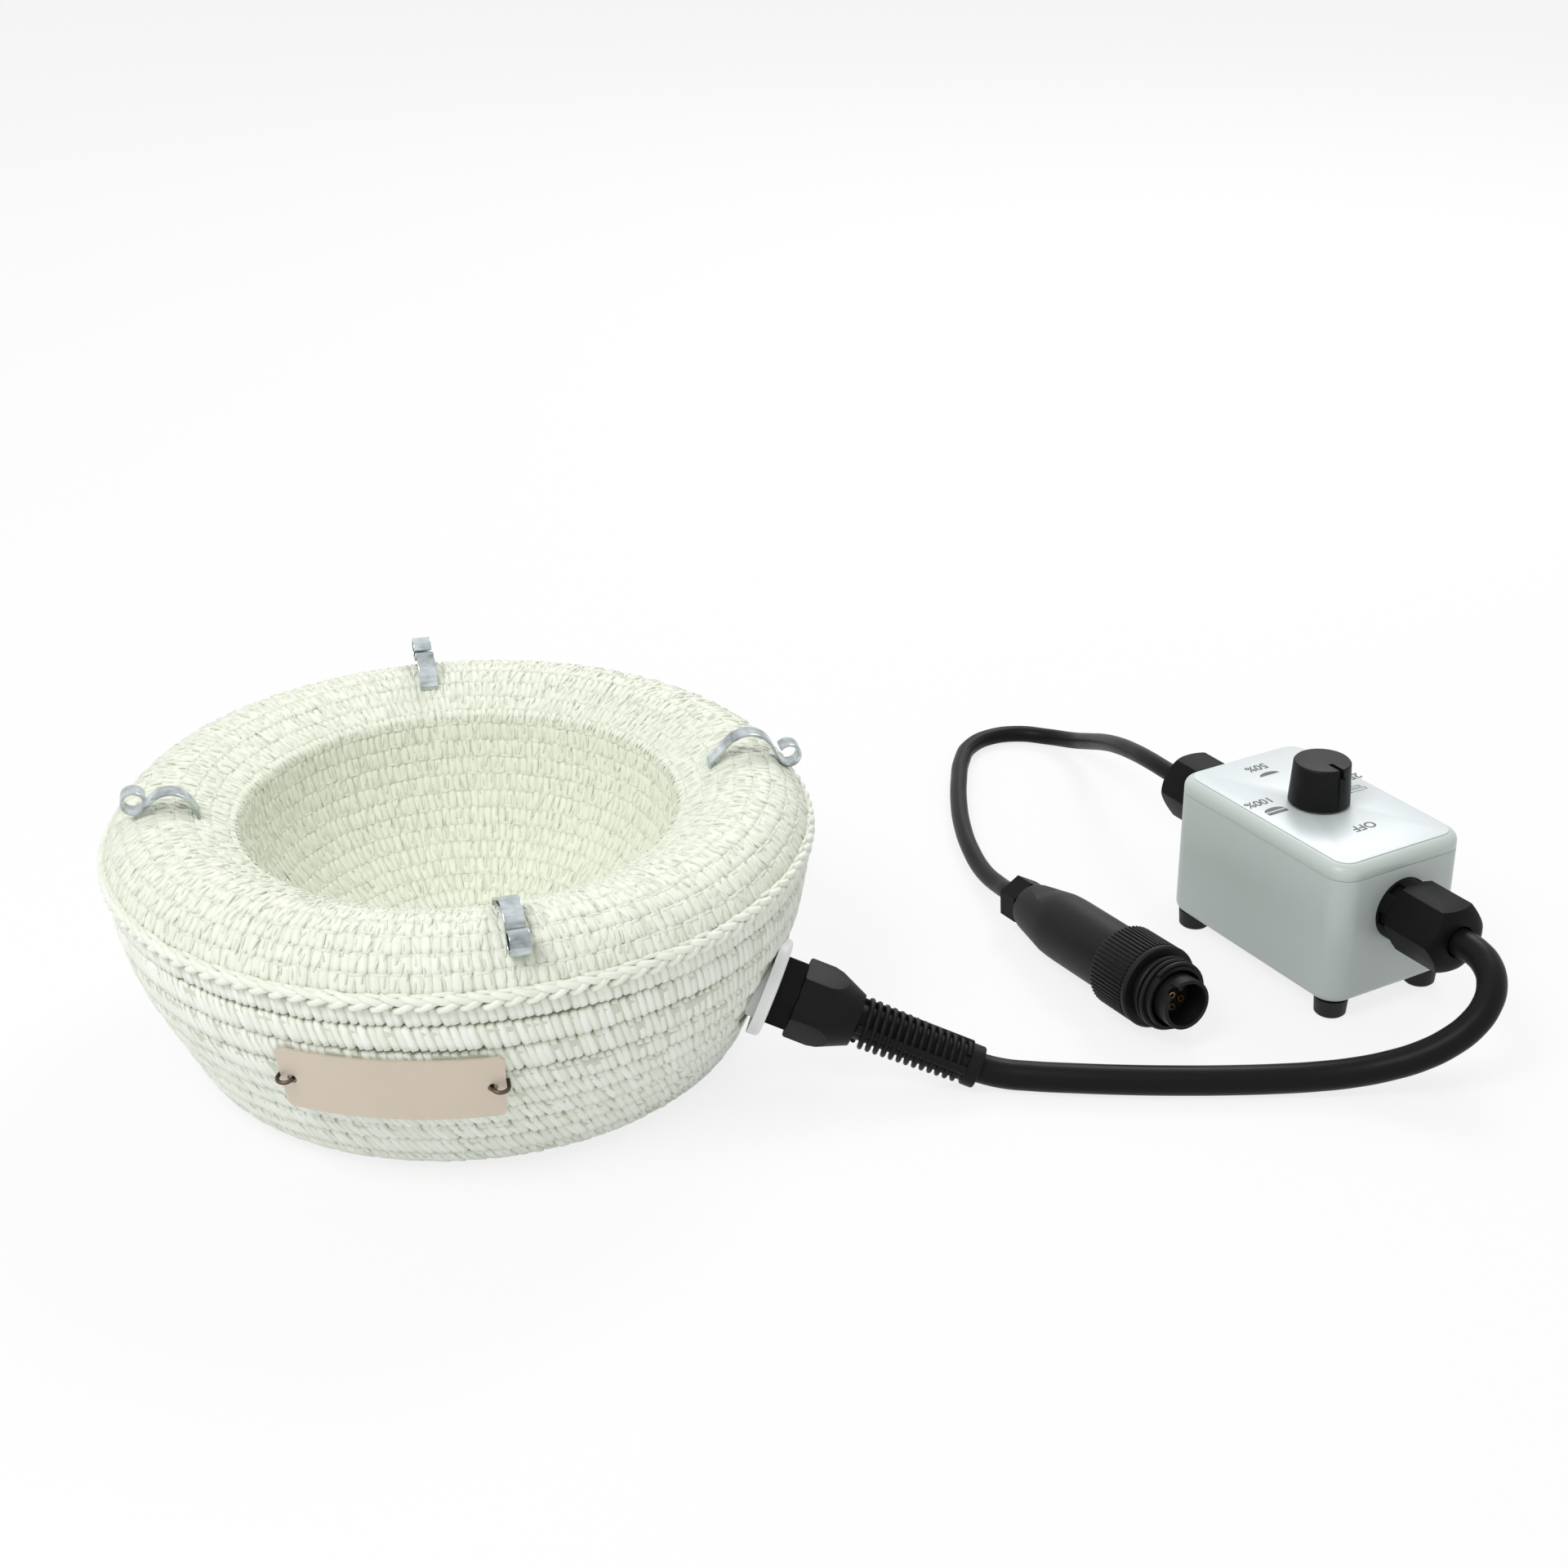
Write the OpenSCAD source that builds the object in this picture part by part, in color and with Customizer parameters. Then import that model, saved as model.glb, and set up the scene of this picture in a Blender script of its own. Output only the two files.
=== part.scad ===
// Heating mantle: a crocheted glass-yarn bowl for a round-bottom flask, with a
// step-switch box on its lead and a round control connector on a second lead.
// Origin: the bowl's axis on the table. +Z up. The box lies on the +X side.

/* [Bowl] */
// Radius of the bowl that takes the flask
bowl_r = 66.5; // [62:0.5:69]
// Height of the bowl's centre above the table
bowl_z = 80; // [78:0.5:84]
// Angle below the bowl's centre at which its wall turns over into the rim
mouth_a = 3.4; // [2:0.2:6]
// Thickness of the crocheted heating insert
insert_t = 4; // [3:0.25:5]
// Rows of stitches in the insert, from the bowl's pole to the seam
insert_rows = 27; // [22:1:32]
// Height of a row's ridge in the insert
insert_rib = 1; // [0.4:0.1:1.4]

/* [Cover] */
// Largest radius of the mantle
body_r = 107; // [103:0.5:112]
// Height of the rim's crest
body_h = 85; // [82:0.5:88]
// Radius of the rim's rounding
rim_r = 19; // [17:0.5:21]
// Angle on the rim's rounding at which the insert is sewn to the cover
seam_a = 10; // [4:1:16]
// Radius of the belly between the rim and the straight wall
belly_r = 78; // [60:1:100]
// Lean of the straight wall from the vertical
wall_lean = 24.5; // [20:0.5:28]
// Rounding where the wall meets the bottom
fillet_r = 12; // [8:0.5:14]
// Thickness of the crocheted cover
cover_t = 4; // [3:0.25:5]
// Rows of stitches in the cover, from the bottom to the seam
cover_rows = 10; // [8:1:13]
// Height of a row's ridge in the cover
cover_rib = 1.5; // [0.5:0.1:2]
// Radius of the chain-stitch braid along the seam
braid_r = 2.1; // [1.5:0.1:2.6]

/* [Heater] */
// Radius of the heating cord
heater_r = 1.6; // [1.2:0.1:2]
// Turns of the heating cord round the bowl
heater_turns = 7; // [4:1:8]
// Angle below the bowl's centre of the topmost turn
heater_top_a = 20; // [16:1:26]
// Angle between one turn and the next
heater_step_a = 10; // [8:0.5:10]

/* [Hooks] */
// Direction of the first hook; the others follow at right angles
hook_az = 193.6; // [180:0.2:210]
// Distance from the rim's middle inwards to the hook's root
hook_in = 10.5; // [8:0.5:12]
// Width of the hook's flat wire
hook_w = 5.8; // [4:0.2:8]
// Thickness of the hook's flat wire
hook_t = 0.9; // [0.6:0.1:1.2]
// Radius of the hook's bend over its root, along the middle of the wire
hook_bend_r = 2; // [1.6:0.1:3]
// Radius of the hook's eye, along the middle of the wire
hook_eye_r = 3.4; // [3.2:0.1:4.4]
// Length of wire sewn in under the rim
hook_tail = 13; // [9:0.5:16]

/* [Name plate] */
// Width of the plate, round the wall
plate_w = 64; // [50:1:80]
// Height of the plate
plate_h = 22; // [16:0.5:24]
// Thickness of the plate
plate_t = 0.8; // [0.5:0.1:1.2]
// Direction of the plate's middle
plate_az = -95.5; // [-110:0.5:-90]
// Height of the plate's middle
plate_z = 40; // [36:0.5:42]
// Angle at which the plate leans outwards at its top
plate_lean = 12; // [10:0.5:16]
// Distance from the plate's end to its hole
plate_hole_in = 3.6; // [3:0.1:5]
// Radius of the plate's holes
plate_hole_r = 1.5; // [1.2:0.1:2]
// Radius of the wire that ties the plate on
tie_r = 0.6; // [0.4:0.1:0.8]

/* [Mantle gland] */
// Direction in which the gland sits on the wall
gland_az = -18.5; // [-30:0.5:0]
// Height at which the gland's axis meets the wall
gland_z = 30; // [28:0.5:36]
// Direction in which the gland points
gland_turn = -9; // [-14:0.5:-5]
// Angle by which the gland points down
gland_dip = 20; // [17:0.5:20]
// Radius of the white flange
flange_r = 15.5; // [14:0.5:18]
// Thickness of the white flange
flange_t = 3.8; // [3:0.1:4.5]
// Length of the spiral that guards the lead against kinks
spiral_l = 40; // [34:1:41]
// Turns of the spiral
spiral_turns = 14; // [10:1:16]
// Radius of the spiral at the nut
spiral_r1 = 8.2; // [7.6:0.1:8.4]
// Radius of the spiral at its free end
spiral_r2 = 6.6; // [6.4:0.1:6.8]

/* [Gland fittings] */
// Radius of a gland's thread
thread_r = 8; // [7.6:0.1:8.2]
// Width across the flats of a gland's nut
nut_af = 21; // [20:0.5:23]
// Width across the flats of a gland's hexagon
hex_af = 21; // [20:0.5:23]
// Height of a gland's hexagon
hex_h = 6.5; // [5:0.25:7]
// Radial room between the parts of a gland
fit_gap = 0.15; // [0.1:0.05:0.25]
// Thickness of a lock nut
locknut_t = 4; // [3:0.25:5]

/* [Leads] */
// Radius of the heavy lead from the mantle to the box
power_r = 4.6; // [4.2:0.1:4.7]
// Radius of the light lead from the box to the connector
signal_r = 3.15; // [2.8:0.05:3.3]

/* [Box] */
// Length of the switch box
box_l = 82; // [78:1:90]
// Width of the switch box
box_w = 52; // [50:1:60]
// Height of the switch box without its feet
box_h = 49; // [46:0.5:52]
// Height of the part of the lid that shows
lid_h = 5; // [4.5:0.25:7]
// Rounding of the box's upright corners
box_corner = 8; // [6:0.5:10]
// Rounding of the box's top and bottom edges
box_edge = 3.4; // [2:0.2:4]
// Wall of the box
box_wall = 2.6; // [2:0.1:3.2]
// Height of a foot
foot_h = 6; // [5:0.5:8]
// Radius of a foot
foot_r = 5.5; // [5:0.25:6]
// Height of the lead glands above the table
lead_z = 35.5; // [33:0.5:38]
// Distance from the box's middle to the box's middle line of the switch
dial_x = 0; // [-3:0.5:3]

/* [Dial] */
// Radius of the knob at its foot
knob_r = 10; // [9:0.25:11]
// Radius of the knob at its top
knob_top_r = 9.2; // [8.6:0.1:9.6]
// Height of the knob
knob_h = 14; // [12:0.5:16]
// Radius of the switch's shaft
shaft_r = 3; // [2.5:0.25:3.5]
// Radial room of the shaft in its bushing
shaft_gap = 0.06; // [0.03:0.01:0.1]
// Width of the switch's body
switch_w = 28; // [24:1:30]
// Height of the switch's body
switch_h = 18; // [14:0.5:20]
// Thickness of the printed label
label_t = 0.3; // [0.2:0.1:0.6]

/* [Connector] */
// Length of the connector's body behind the ring
shell_l = 53; // [48:1:58]
// Radius of the connector's body at the ring
shell_r = 11.3; // [10.8:0.1:11.6]
// Radius of the coupling ring
ring_r = 13.75; // [13.2:0.05:13.9]
// Length of the knurled part of the coupling ring
ring_l = 19.5; // [16:0.5:22]
// Flutes round the coupling ring
ring_flutes = 60; // [36:2:72]
// Radius over the ring's thread
ring_thread_r = 11.7; // [11.2:0.1:12]
// Length of the ring's thread
ring_thread_l = 9; // [7:0.5:11]
// Radius of the shroud round the contacts
shroud_r = 8.25; // [8:0.05:8.6]
// How far the shroud stands out of the ring
shroud_out = 5.5; // [4:0.25:7]
// Depth of the shroud's mouth in front of the contacts
shroud_deep = 9; // [8:0.5:10]
// Contacts round the middle one
contact_n = 6; // [4:1:6]

/* [Hidden] */
$fn = 64;

yarn = [0.93, 0.95, 0.89];
steel = [0.75, 0.78, 0.80];
nylon = [0.07, 0.07, 0.07];
rubber = [0.10, 0.10, 0.10];
grey = [0.66, 0.71, 0.70];
copper = [0.72, 0.45, 0.30];

// small gap between pieces that are sewn, laid or screwed together
seat = 0.2;
eps = 0.01;

// ---- profile of the mantle -------------------------------------------------

function arc(c, r, a0, a1, n) =
    [for (i = [0 : n]) let (a = a0 + (a1 - a0) * i / n) c + r * [cos(a), sin(a)]];

rim_c = [body_r - rim_r, body_h - rim_r];
belly_c = [body_r - belly_r, rim_c.y];
// angle on the rim where it runs inwards to the bowl's mouth
rim_in_a = 122;
wall_d = belly_c.x * cos(wall_lean) - belly_c.y * sin(wall_lean) + belly_r;
// radius of the flat bottom, from the line that touches belly and bottom rounding
foot_flat_r = (wall_d - fillet_r + fillet_r * sin(wall_lean)) / cos(wall_lean);
fillet_c = [foot_flat_r, fillet_r];

// upper side of the mantle from the bowl's pole to an angle on the rim, g below the surface
function top_line(g, end_a) = concat(
    arc([0, bowl_z], bowl_r + g, -90, -mouth_a, 24),
    arc(rim_c, rim_r - g, rim_in_a, end_a, 16));

// outside of the mantle from the bottom's edge up to an angle on the rim
function side_line(g, end_a) = concat(
    arc(fillet_c, fillet_r - g, -90, -wall_lean, 6),
    arc(belly_c, belly_r - g, -wall_lean, 0, 8),
    arc(rim_c, rim_r - g, 1, end_a, 4));

function line_length(line, i = 0) =
    i >= len(line) - 1 ? 0 : norm(line[i + 1] - line[i]) + line_length(line, i + 1);

// point and direction at the distance s along a line
function along(line, s, i = 0) =
    let (d = norm(line[i + 1] - line[i]), u = (line[i + 1] - line[i]) / d)
    (s <= d || i >= len(line) - 2) ? [line[i] + u * s, u] : along(line, s - d, i + 1);

// a line with one ridge for each row of stitches; hand is 1 if the yarn lies to its left
function ribbed(line, rows, depth, hand) =
    let (pitch = line_length(line) / rows, dip = [1, 0.25, 0, 0.25])
    [for (i = [0 : rows - 1], k = [0 : 3])
        let (w = along(line, (i + k / 4) * pitch))
        w[0] + hand * depth * dip[k] * [-w[1].y, w[1].x],
        line[len(line) - 1]];

function reverse(list) = [for (i = [len(list) - 1 : -1 : 0]) list[i]];

// radius of the outside at a height on the belly or on the straight wall
belly_end_z = belly_c.y - belly_r * sin(wall_lean);
belly_end_r = belly_c.x + belly_r * cos(wall_lean);
function wall_r(z) =
    z > belly_end_z ? belly_c.x + sqrt(pow(belly_r, 2) - pow(belly_c.y - z, 2))
                    : belly_end_r - (belly_end_z - z) * tan(wall_lean);

gland_origin = let (r = wall_r(gland_z) + 0.1)
    [r * cos(gland_az), r * sin(gland_az), gland_z];
gland_axis = [cos(gland_turn) * cos(gland_dip), sin(gland_turn) * cos(gland_dip),
    -sin(gland_dip)];
// place on the mantle gland's axis; 0 is the outer face of the flange
function gland_point(s) = gland_origin + (s + flange_t - 0.8) * gland_axis;

// ---- crocheted shells ------------------------------------------------------

module insert_shape() {
    upper = ribbed(top_line(0, seam_a), insert_rows, insert_rib, -1);
    lower = top_line(insert_t, seam_a);
    rotate_extrude() polygon(concat([[0, upper[0].y]], upper, reverse(lower)));
}

module cover_shape() {
    outer = ribbed(side_line(0, seam_a - 1), cover_rows, cover_rib, 1);
    inner = side_line(cover_t, seam_a - 1);
    rotate_extrude()
        polygon(concat([[0, 0], [foot_flat_r, 0]], outer, reverse(inner), [[0, cover_t]]));
}

module insulation_shape() {
    heater_room = insert_t + 2 * seat + 2 * heater_r;
    upper = concat(
        arc([0, bowl_z], bowl_r + heater_room, -90, -heater_top_a + 6, 20),
        arc(rim_c, rim_r - insert_t - seat, rim_in_a + 8, seam_a, 14));
    lower = side_line(cover_t + seat, seam_a);
    rotate_extrude() polygon(concat(upper, reverse(lower), [[0, cover_t + seat]]));
}

module heating_insert() {
    color(yarn) difference() {
        insert_shape();
        for (h = HOOKS) hook_slot(h);
    }
}

module outer_cover() {
    color(yarn) difference() {
        cover_shape();
        at_gland() {
            translate([0, 0, -flange_t]) cylinder(r = flange_r + seat, h = 3 * flange_t);
            translate([0, 0, -30]) cylinder(r = collar_r + seat, h = 40);
        }
        plate_tie_holes();
    }
}

// braid laid over the line where insert and cover are sewn together
module seam_braid() {
    sunk = 0.3;
    color(yarn) rotate_extrude() translate(rim_c) rotate(seam_a) translate([rim_r - sunk, 0])
        intersection() {
            circle(r = braid_r, $fn = 24);
            translate([sunk + seat, -braid_r]) square(2 * braid_r);
        }
}

module insulation() {
    color([0.97, 0.94, 0.82]) difference() {
        insulation_shape();
        for (h = HOOKS) hook_slot(h);
        at_gland() {
            translate([0, 0, -pocket_deep]) cylinder(r = pocket_r, h = pocket_deep + 30);
        }
        wiring_room();
    }
}

// ---- heater ----------------------------------------------------------------

heater_path_r = bowl_r + insert_t + seat + heater_r;
function heater_angle(i) = -(heater_top_a + heater_step_a * i);
function heater_point(i) =
    [heater_path_r * cos(heater_angle(i)), bowl_z + heater_path_r * sin(heater_angle(i))];
link_az = 150;

module rod(a, b, r) {
    d = b - a;
    translate(a)
        rotate([0, acos(d.z / norm(d)), atan2(d.y, d.x)]) cylinder(r = r, h = norm(d), $fn = 24);
}

module heating_cord() {
    color([0.85, 0.80, 0.66]) {
        for (i = [0 : heater_turns - 1]) rotate_extrude()
            translate(heater_point(i)) circle(r = heater_r, $fn = 20);
        for (i = [0 : heater_turns - 2]) rotate([0, 0, link_az + (i % 2) * 6])
            rod([heater_point(i).x, 0, heater_point(i).y],
                [heater_point(i + 1).x, 0, heater_point(i + 1).y], 0.6 * heater_r);
    }
}

// terminal block in the corner under the bowl, below the lead's end
block = [11, 24, 14];
block_z = 7.5;
tail_in = 24;
tail_end = gland_point(-tail_in);
block_az = atan2(tail_end.y, tail_end.x);
block_r = norm([tail_end.x, tail_end.y]) - 3;
wire_bend = gland_point(-tail_in - 3);
wire_r = 1.1;
wire_step = 3;
lead_off = 9;
heater_low = heater_point(0) - [0, heater_r];

module at_block() { rotate([0, 0, block_az]) children(); }

module terminal_block() {
    color([0.95, 0.93, 0.88]) at_block() difference() {
        translate([block_r - block.x / 2, -block.y / 2, block_z]) cube(block);
        for (s = [-1, 1]) translate([block_r, s * 6, block_z - 1])
            cylinder(r = 1.6, h = 6);
        for (s = [-1, 0, 1]) translate([block_r + block.x / 2 - 2.5, s * 7.5, block_z + 6])
            rotate([0, 90, 0]) cylinder(r = 1.5, h = 8);
    }
}

// two straight runs of wire that meet in a corner
module wire_corner(a, corner, b) {
    past = corner + 1.3 * wire_r * (corner - b) / norm(corner - b);
    rod(b, past, wire_r);
    rod(a, corner, 0.9 * wire_r);
}

module heater_leads() {
    color([0.85, 0.80, 0.66]) at_block() for (s = [-1, 1]) {
        z = block_z + block.z - 6;
        // up to the topmost turn of the heating cord
        wire_corner([block_r - block.x / 2, s * lead_off, z], [heater_low.x, s * lead_off, z],
            [heater_low.x, s * lead_off, heater_low.y - 0.6]);
    }
    // down from the lead's end to the block
    color(copper) for (s = [-1 : 1]) {
        aside = s * wire_step * [-sin(gland_turn), cos(gland_turn), 0];
        wire_corner(gland_point(-tail_in) + aside, wire_bend + aside,
            [wire_bend.x, wire_bend.y, block_z + block.z] + aside);
    }
}

module wiring_room() {
    at_block() {
        translate([block_r - block.x / 2 - 3, -block.y / 2 - 1, block_z - 1])
            cube([block.x + 4, block.y + 2, tail_end.z - block_z + 2]);
        translate([heater_low.x - 2.2, -lead_off - 2.2, block_z + 4])
            cube([block_r - heater_low.x, 2 * lead_off + 4.4, heater_low.y - block_z]);
    }
}

// ---- hooks -----------------------------------------------------------------

// each hook: direction, lean outwards from the root, straight length up to the arch, arch's
// radius, angle at which the arch ends, straight length down to the eye
HOOKS = [
    [hook_az - 0.6, 42.5, 3.9, 7, 50.5, 4.6],
    [hook_az + 92, 78, 10.6, 8.1, 21.6, 3],
    [hook_az + 177.1, 60.5, 8.1, 8.3, 24.5, 5],
    [hook_az + 270, 42.5, 3.9, 7, 50.5, 4.6]];
hook_deep = 0.8;
hook_root = rim_c + [-hook_in, sqrt(pow(rim_r, 2) - pow(hook_in, 2)) - hook_deep];
hook_in_a = 15.5;
hook_stem = [sin(hook_in_a), -cos(hook_in_a)];
hook_lift = hook_deep + 0.4;

function toward(a) = [cos(a), sin(a)];

module at_hook(h) {
    rotate([0, 0, h[0]]) translate([hook_root.x, 0, hook_root.y]) rotate([90, 0, 0]) children();
}

function hook_foot() = -hook_lift * hook_stem;
function hook_bend_c() = hook_foot() + hook_bend_r * toward(hook_in_a);
function hook_bend_a(h) = 180 + hook_in_a - h[1];
function hook_arch_c(h) = hook_bend_c() + (hook_bend_r - h[3]) * toward(hook_bend_a(h))
    + h[2] * toward(hook_bend_a(h) - 90);
function hook_eye_c(h) = hook_arch_c(h) + (h[3] + hook_eye_r) * toward(h[4])
    + h[5] * toward(h[4] - 90);
// one side of the wire from the tail's end to the end of the arch; k is 1 on the arch's
// outside and -1 on its inside
function hook_side(h, k) = concat(
    [hook_foot() + hook_tail * hook_stem + k * hook_t / 2 * toward(180 + hook_in_a)],
    arc(hook_bend_c(), hook_bend_r + k * hook_t / 2, 180 + hook_in_a, hook_bend_a(h), 8),
    arc(hook_arch_c(h), h[3] + k * hook_t / 2, hook_bend_a(h), h[4], 30));
// the curled eye closes where its outside meets the straight wire that leads to it
hook_eye_close = acos((hook_eye_r - hook_t / 2) / (hook_eye_r + hook_t / 2));

module hook(h) {
    eye = hook_eye_c(h);
    color(steel) at_hook(h) difference() {
        translate([0, 0, -hook_w / 2]) linear_extrude(hook_w) polygon(concat(
            hook_side(h, -1),
            arc(eye, hook_eye_r + hook_t / 2, h[4] - 180, h[4] + 180 - hook_eye_close, 44),
            reverse(hook_side(h, 1))));
        translate([eye.x, eye.y, -hook_w]) cylinder(r = hook_eye_r - hook_t / 2, h = 2 * hook_w);
    }
}

module hook_slot(h) {
    gap = 0.25;
    above = 4;
    at_hook(h) rotate([0, 0, atan2(hook_stem.y, hook_stem.x)])
        translate([-above, -hook_t / 2 - gap, -hook_w / 2 - gap])
            cube([hook_tail + above - hook_lift + gap, hook_t + 2 * gap, hook_w + 2 * gap]);
}

module hook_left() { hook(HOOKS[0]); }
module hook_front() { hook(HOOKS[1]); }
module hook_right() { hook(HOOKS[2]); }
module hook_rear() { hook(HOOKS[3]); }

// ---- name plate ------------------------------------------------------------

// the flat plate rests on the belly where the wall leans as the plate does
plate_rest_z = belly_c.y - belly_r * sin(plate_lean);
plate_r = wall_r(plate_rest_z) + seat - (plate_rest_z - plate_z) * tan(plate_lean);
plate_half_a = plate_w / plate_r * 90 / PI;
plate_hole_a = (plate_w / 2 - plate_hole_in) / plate_r * 180 / PI;

// radial frame on the plate at an angle from its middle: x round the wall, y up, z outwards
module on_plate(a) {
    rotate([0, 0, plate_az + a]) translate([plate_r, 0, plate_z])
        rotate([0, 90 + plate_lean, 0]) rotate([0, 0, 90]) children();
}

module name_plate() {
    corner = 2.2;
    color([0.84, 0.78, 0.72]) difference() {
        intersection() {
            rotate([0, 0, plate_az - plate_half_a]) rotate_extrude(angle = 2 * plate_half_a)
                translate([plate_r, plate_z]) rotate(-plate_lean)
                    translate([0, -plate_h / 2]) square([plate_t, plate_h]);
            union() {
                on_plate(0) translate([-plate_w / 2 + corner, -plate_h / 2 - 2, -20])
                    cube([plate_w - 2 * corner, plate_h + 4, 30]);
                on_plate(0) translate([-plate_w, -plate_h / 2 + corner, -20])
                    cube([2 * plate_w, plate_h - 2 * corner, 30]);
                for (s = [-1, 1], t = [-1, 1])
                    on_plate(s * (plate_half_a - corner / plate_r * 180 / PI))
                        translate([0, t * (plate_h / 2 - corner), -5])
                            cylinder(r = corner, h = 10);
            }
        }
        for (s = [-1, 1]) on_plate(s * plate_hole_a)
            translate([0, 0, -3]) cylinder(r = plate_hole_r, h = 8);
    }
}

// wire staple through the hole and round the plate's end
tie_mid_a = (plate_w / 2 + 0.6) / plate_r * 180 / PI;
tie_leg = 4.3;
module plate_tie(s) {
    color([0.22, 0.17, 0.14]) on_plate(s * (plate_hole_a + tie_mid_a) / 2)
        for (t = [-1, 1]) {
            x = (tie_mid_a - plate_hole_a) / 2 * PI / 180 * plate_r + 0.2;
            translate([t * x, 0, -tie_leg]) cylinder(r = tie_r, h = tie_leg + plate_t, $fn = 16);
            if (t > 0) translate([0, 0, plate_t]) rotate([90, 0, 0])
                rotate_extrude(angle = 180) translate([x, 0]) circle(r = tie_r, $fn = 16);
        }
}

module plate_tie_holes() {
    for (s = [-1, 1]) on_plate(s * (plate_hole_a + tie_mid_a) / 2) for (t = [-1, 1])
        translate([t * ((tie_mid_a - plate_hole_a) / 2 * PI / 180 * plate_r + 0.2), 0, -tie_leg - 1])
            cylinder(r = tie_r + 0.15, h = tie_leg + 4, $fn = 16);
}

module plate_tie_left() { plate_tie(-1); }
module plate_tie_right() { plate_tie(1); }

// ---- glands ----------------------------------------------------------------

collar_r = thread_r + 2.6;
pocket_r = 15;
pocket_deep = 29;
seal_z = 18;

module at_gland() {
    translate(gland_point(0)) rotate([0, 0, gland_turn]) rotate([0, 90 + gland_dip, 0])
        children();
}

module gland_flange() {
    round = 1.4;
    color([0.96, 0.97, 0.97]) at_gland() rotate_extrude() polygon(concat(
        [[thread_r + fit_gap, -16], [collar_r, -16], [collar_r, -flange_t], [flange_r, -flange_t]],
        arc([flange_r - round, -round], round, 0, 90, 6), [[thread_r + fit_gap, 0]]));
}

module hex(af, h) { cylinder(d = af / cos(30), h = h, $fn = 6); }

// body of a gland: thread through the wall, hexagon outside it, sleeve for the seal
module body_of_gland(wall, bore) {
    color(nylon) difference() {
        union() {
            translate([0, 0, -wall]) cylinder(r = thread_r, h = wall + eps);
            hex(hex_af, hex_h);
            cylinder(r = thread_r - 0.5, h = hex_h + 7);
        }
        translate([0, 0, -wall - 1]) cylinder(r = bore, h = wall + hex_h + 9);
        translate([0, 0, hex_h + 1]) cylinder(r = thread_r - 1.6, h = 7);
    }
}

module seal_of_gland(bore) {
    z0 = hex_h + 1 + seat;
    color(rubber) difference() {
        translate([0, 0, z0]) cylinder(r = thread_r - 1.6 - fit_gap, h = seal_z - z0);
        translate([0, 0, z0 - 1]) cylinder(r = bore, h = seal_z - z0 + 2);
    }
}

module locknut_of_gland(z) {
    color(nylon) translate([0, 0, z]) difference() {
        hex(hex_af + 2, locknut_t);
        translate([0, 0, -1]) cylinder(r = thread_r + fit_gap, h = locknut_t + 2);
    }
}

// room inside a gland nut, for the body's sleeve and the seal
module nut_room(mouth) {
    translate([0, 0, -1]) cylinder(r = thread_r - 0.5 + fit_gap, h = 8.4);
    translate([0, 0, 7]) cylinder(r = thread_r - 1.6 + fit_gap, h = seal_z - hex_h - 7);
    cylinder(r = mouth, h = 80);
}

module gland_body() { at_gland() body_of_gland(22, power_r + 0.6); }
module gland_locknut() { at_gland() locknut_of_gland(-16 - locknut_t - seat); }
module gland_seal() { at_gland() seal_of_gland(power_r + 0.1); }

spiral_z = 26;
function spiral_r(u) = spiral_r1 + (spiral_r2 - spiral_r1) * u;
module spiral_nut() {
    wall = 0.7;
    bore = power_r + 0.45;
    pitch = spiral_l / (spiral_turns + 1);
    comb = [for (i = [0 : spiral_turns - 1])
        let (r = spiral_r(i / spiral_turns), z = spiral_z + pitch * (i + 0.35))
        each [[bore + wall, z], [r - 0.3, z], [r, z + 0.25 * pitch], [r - 0.3, z + 0.5 * pitch],
            [bore + wall, z + 0.5 * pitch]]];
    end_z = spiral_z + spiral_l;
    color(nylon) at_gland() difference() {
        union() {
            translate([0, 0, hex_h + seat]) intersection() {
                hex(nut_af + 1, spiral_z - hex_h);
                rotate_extrude() polygon([[0, 0], [nut_af, 0], [nut_af, 7], [12.2, 10.6],
                    [spiral_r1, spiral_z - hex_h - seat], [0, spiral_z - hex_h - seat]]);
            }
            rotate_extrude() polygon(concat([[bore - 0.2, spiral_z - 1], [bore + wall, spiral_z - 1]],
                comb, [[bore + wall, end_z - 4], [spiral_r2, end_z - 4], [spiral_r2, end_z],
                    [bore - 0.2, end_z]]));
        }
        translate([0, 0, hex_h + seat]) nut_room(bore);
    }
}

module power_lead_tail() {
    color(rubber) at_gland() translate([0, 0, -tail_in])
        cylinder(r = power_r, h = tail_in + seal_z);
}

// ---- box -------------------------------------------------------------------

box_at = [271.5, 39.7, 0];
box_turn = -59.5;
seam_z = foot_h + box_h - lid_h;
box_top = foot_h + box_h;
pillar = [box_l / 2 - 7, box_w / 2 - 7];

module at_box() { translate(box_at) rotate([0, 0, box_turn]) children(); }

module rounded_plate(inset, z, h) {
    l = box_l / 2 - box_corner;
    w = box_w / 2 - box_corner;
    r = box_corner - inset;
    translate([0, 0, z]) linear_extrude(height = h) {
        square([2 * (l + r), 2 * w], center = true);
        square([2 * l, 2 * (w + r)], center = true);
        for (s = [-1, 1], t = [-1, 1]) translate([s * l, t * w]) circle(r = r);
    }
}

// rounded edge of the box, as a stack of slices; dir is 1 upwards and -1 downwards
module edge_stack(z, dir) {
    slices = 6;
    for (i = [0 : slices - 1]) {
        a = 90 * (i + 0.5) / slices;
        z0 = box_edge * sin(90 * i / slices);
        z1 = box_edge * sin(90 * (i + 1) / slices);
        rounded_plate(box_edge * (1 - cos(a)), dir > 0 ? z + z0 - eps : z - z1, z1 - z0 + eps);
    }
}

module at_pillars() {
    for (s = [-1, 1], t = [-1, 1]) translate([s * pillar.x, t * pillar.y]) children();
}

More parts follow.
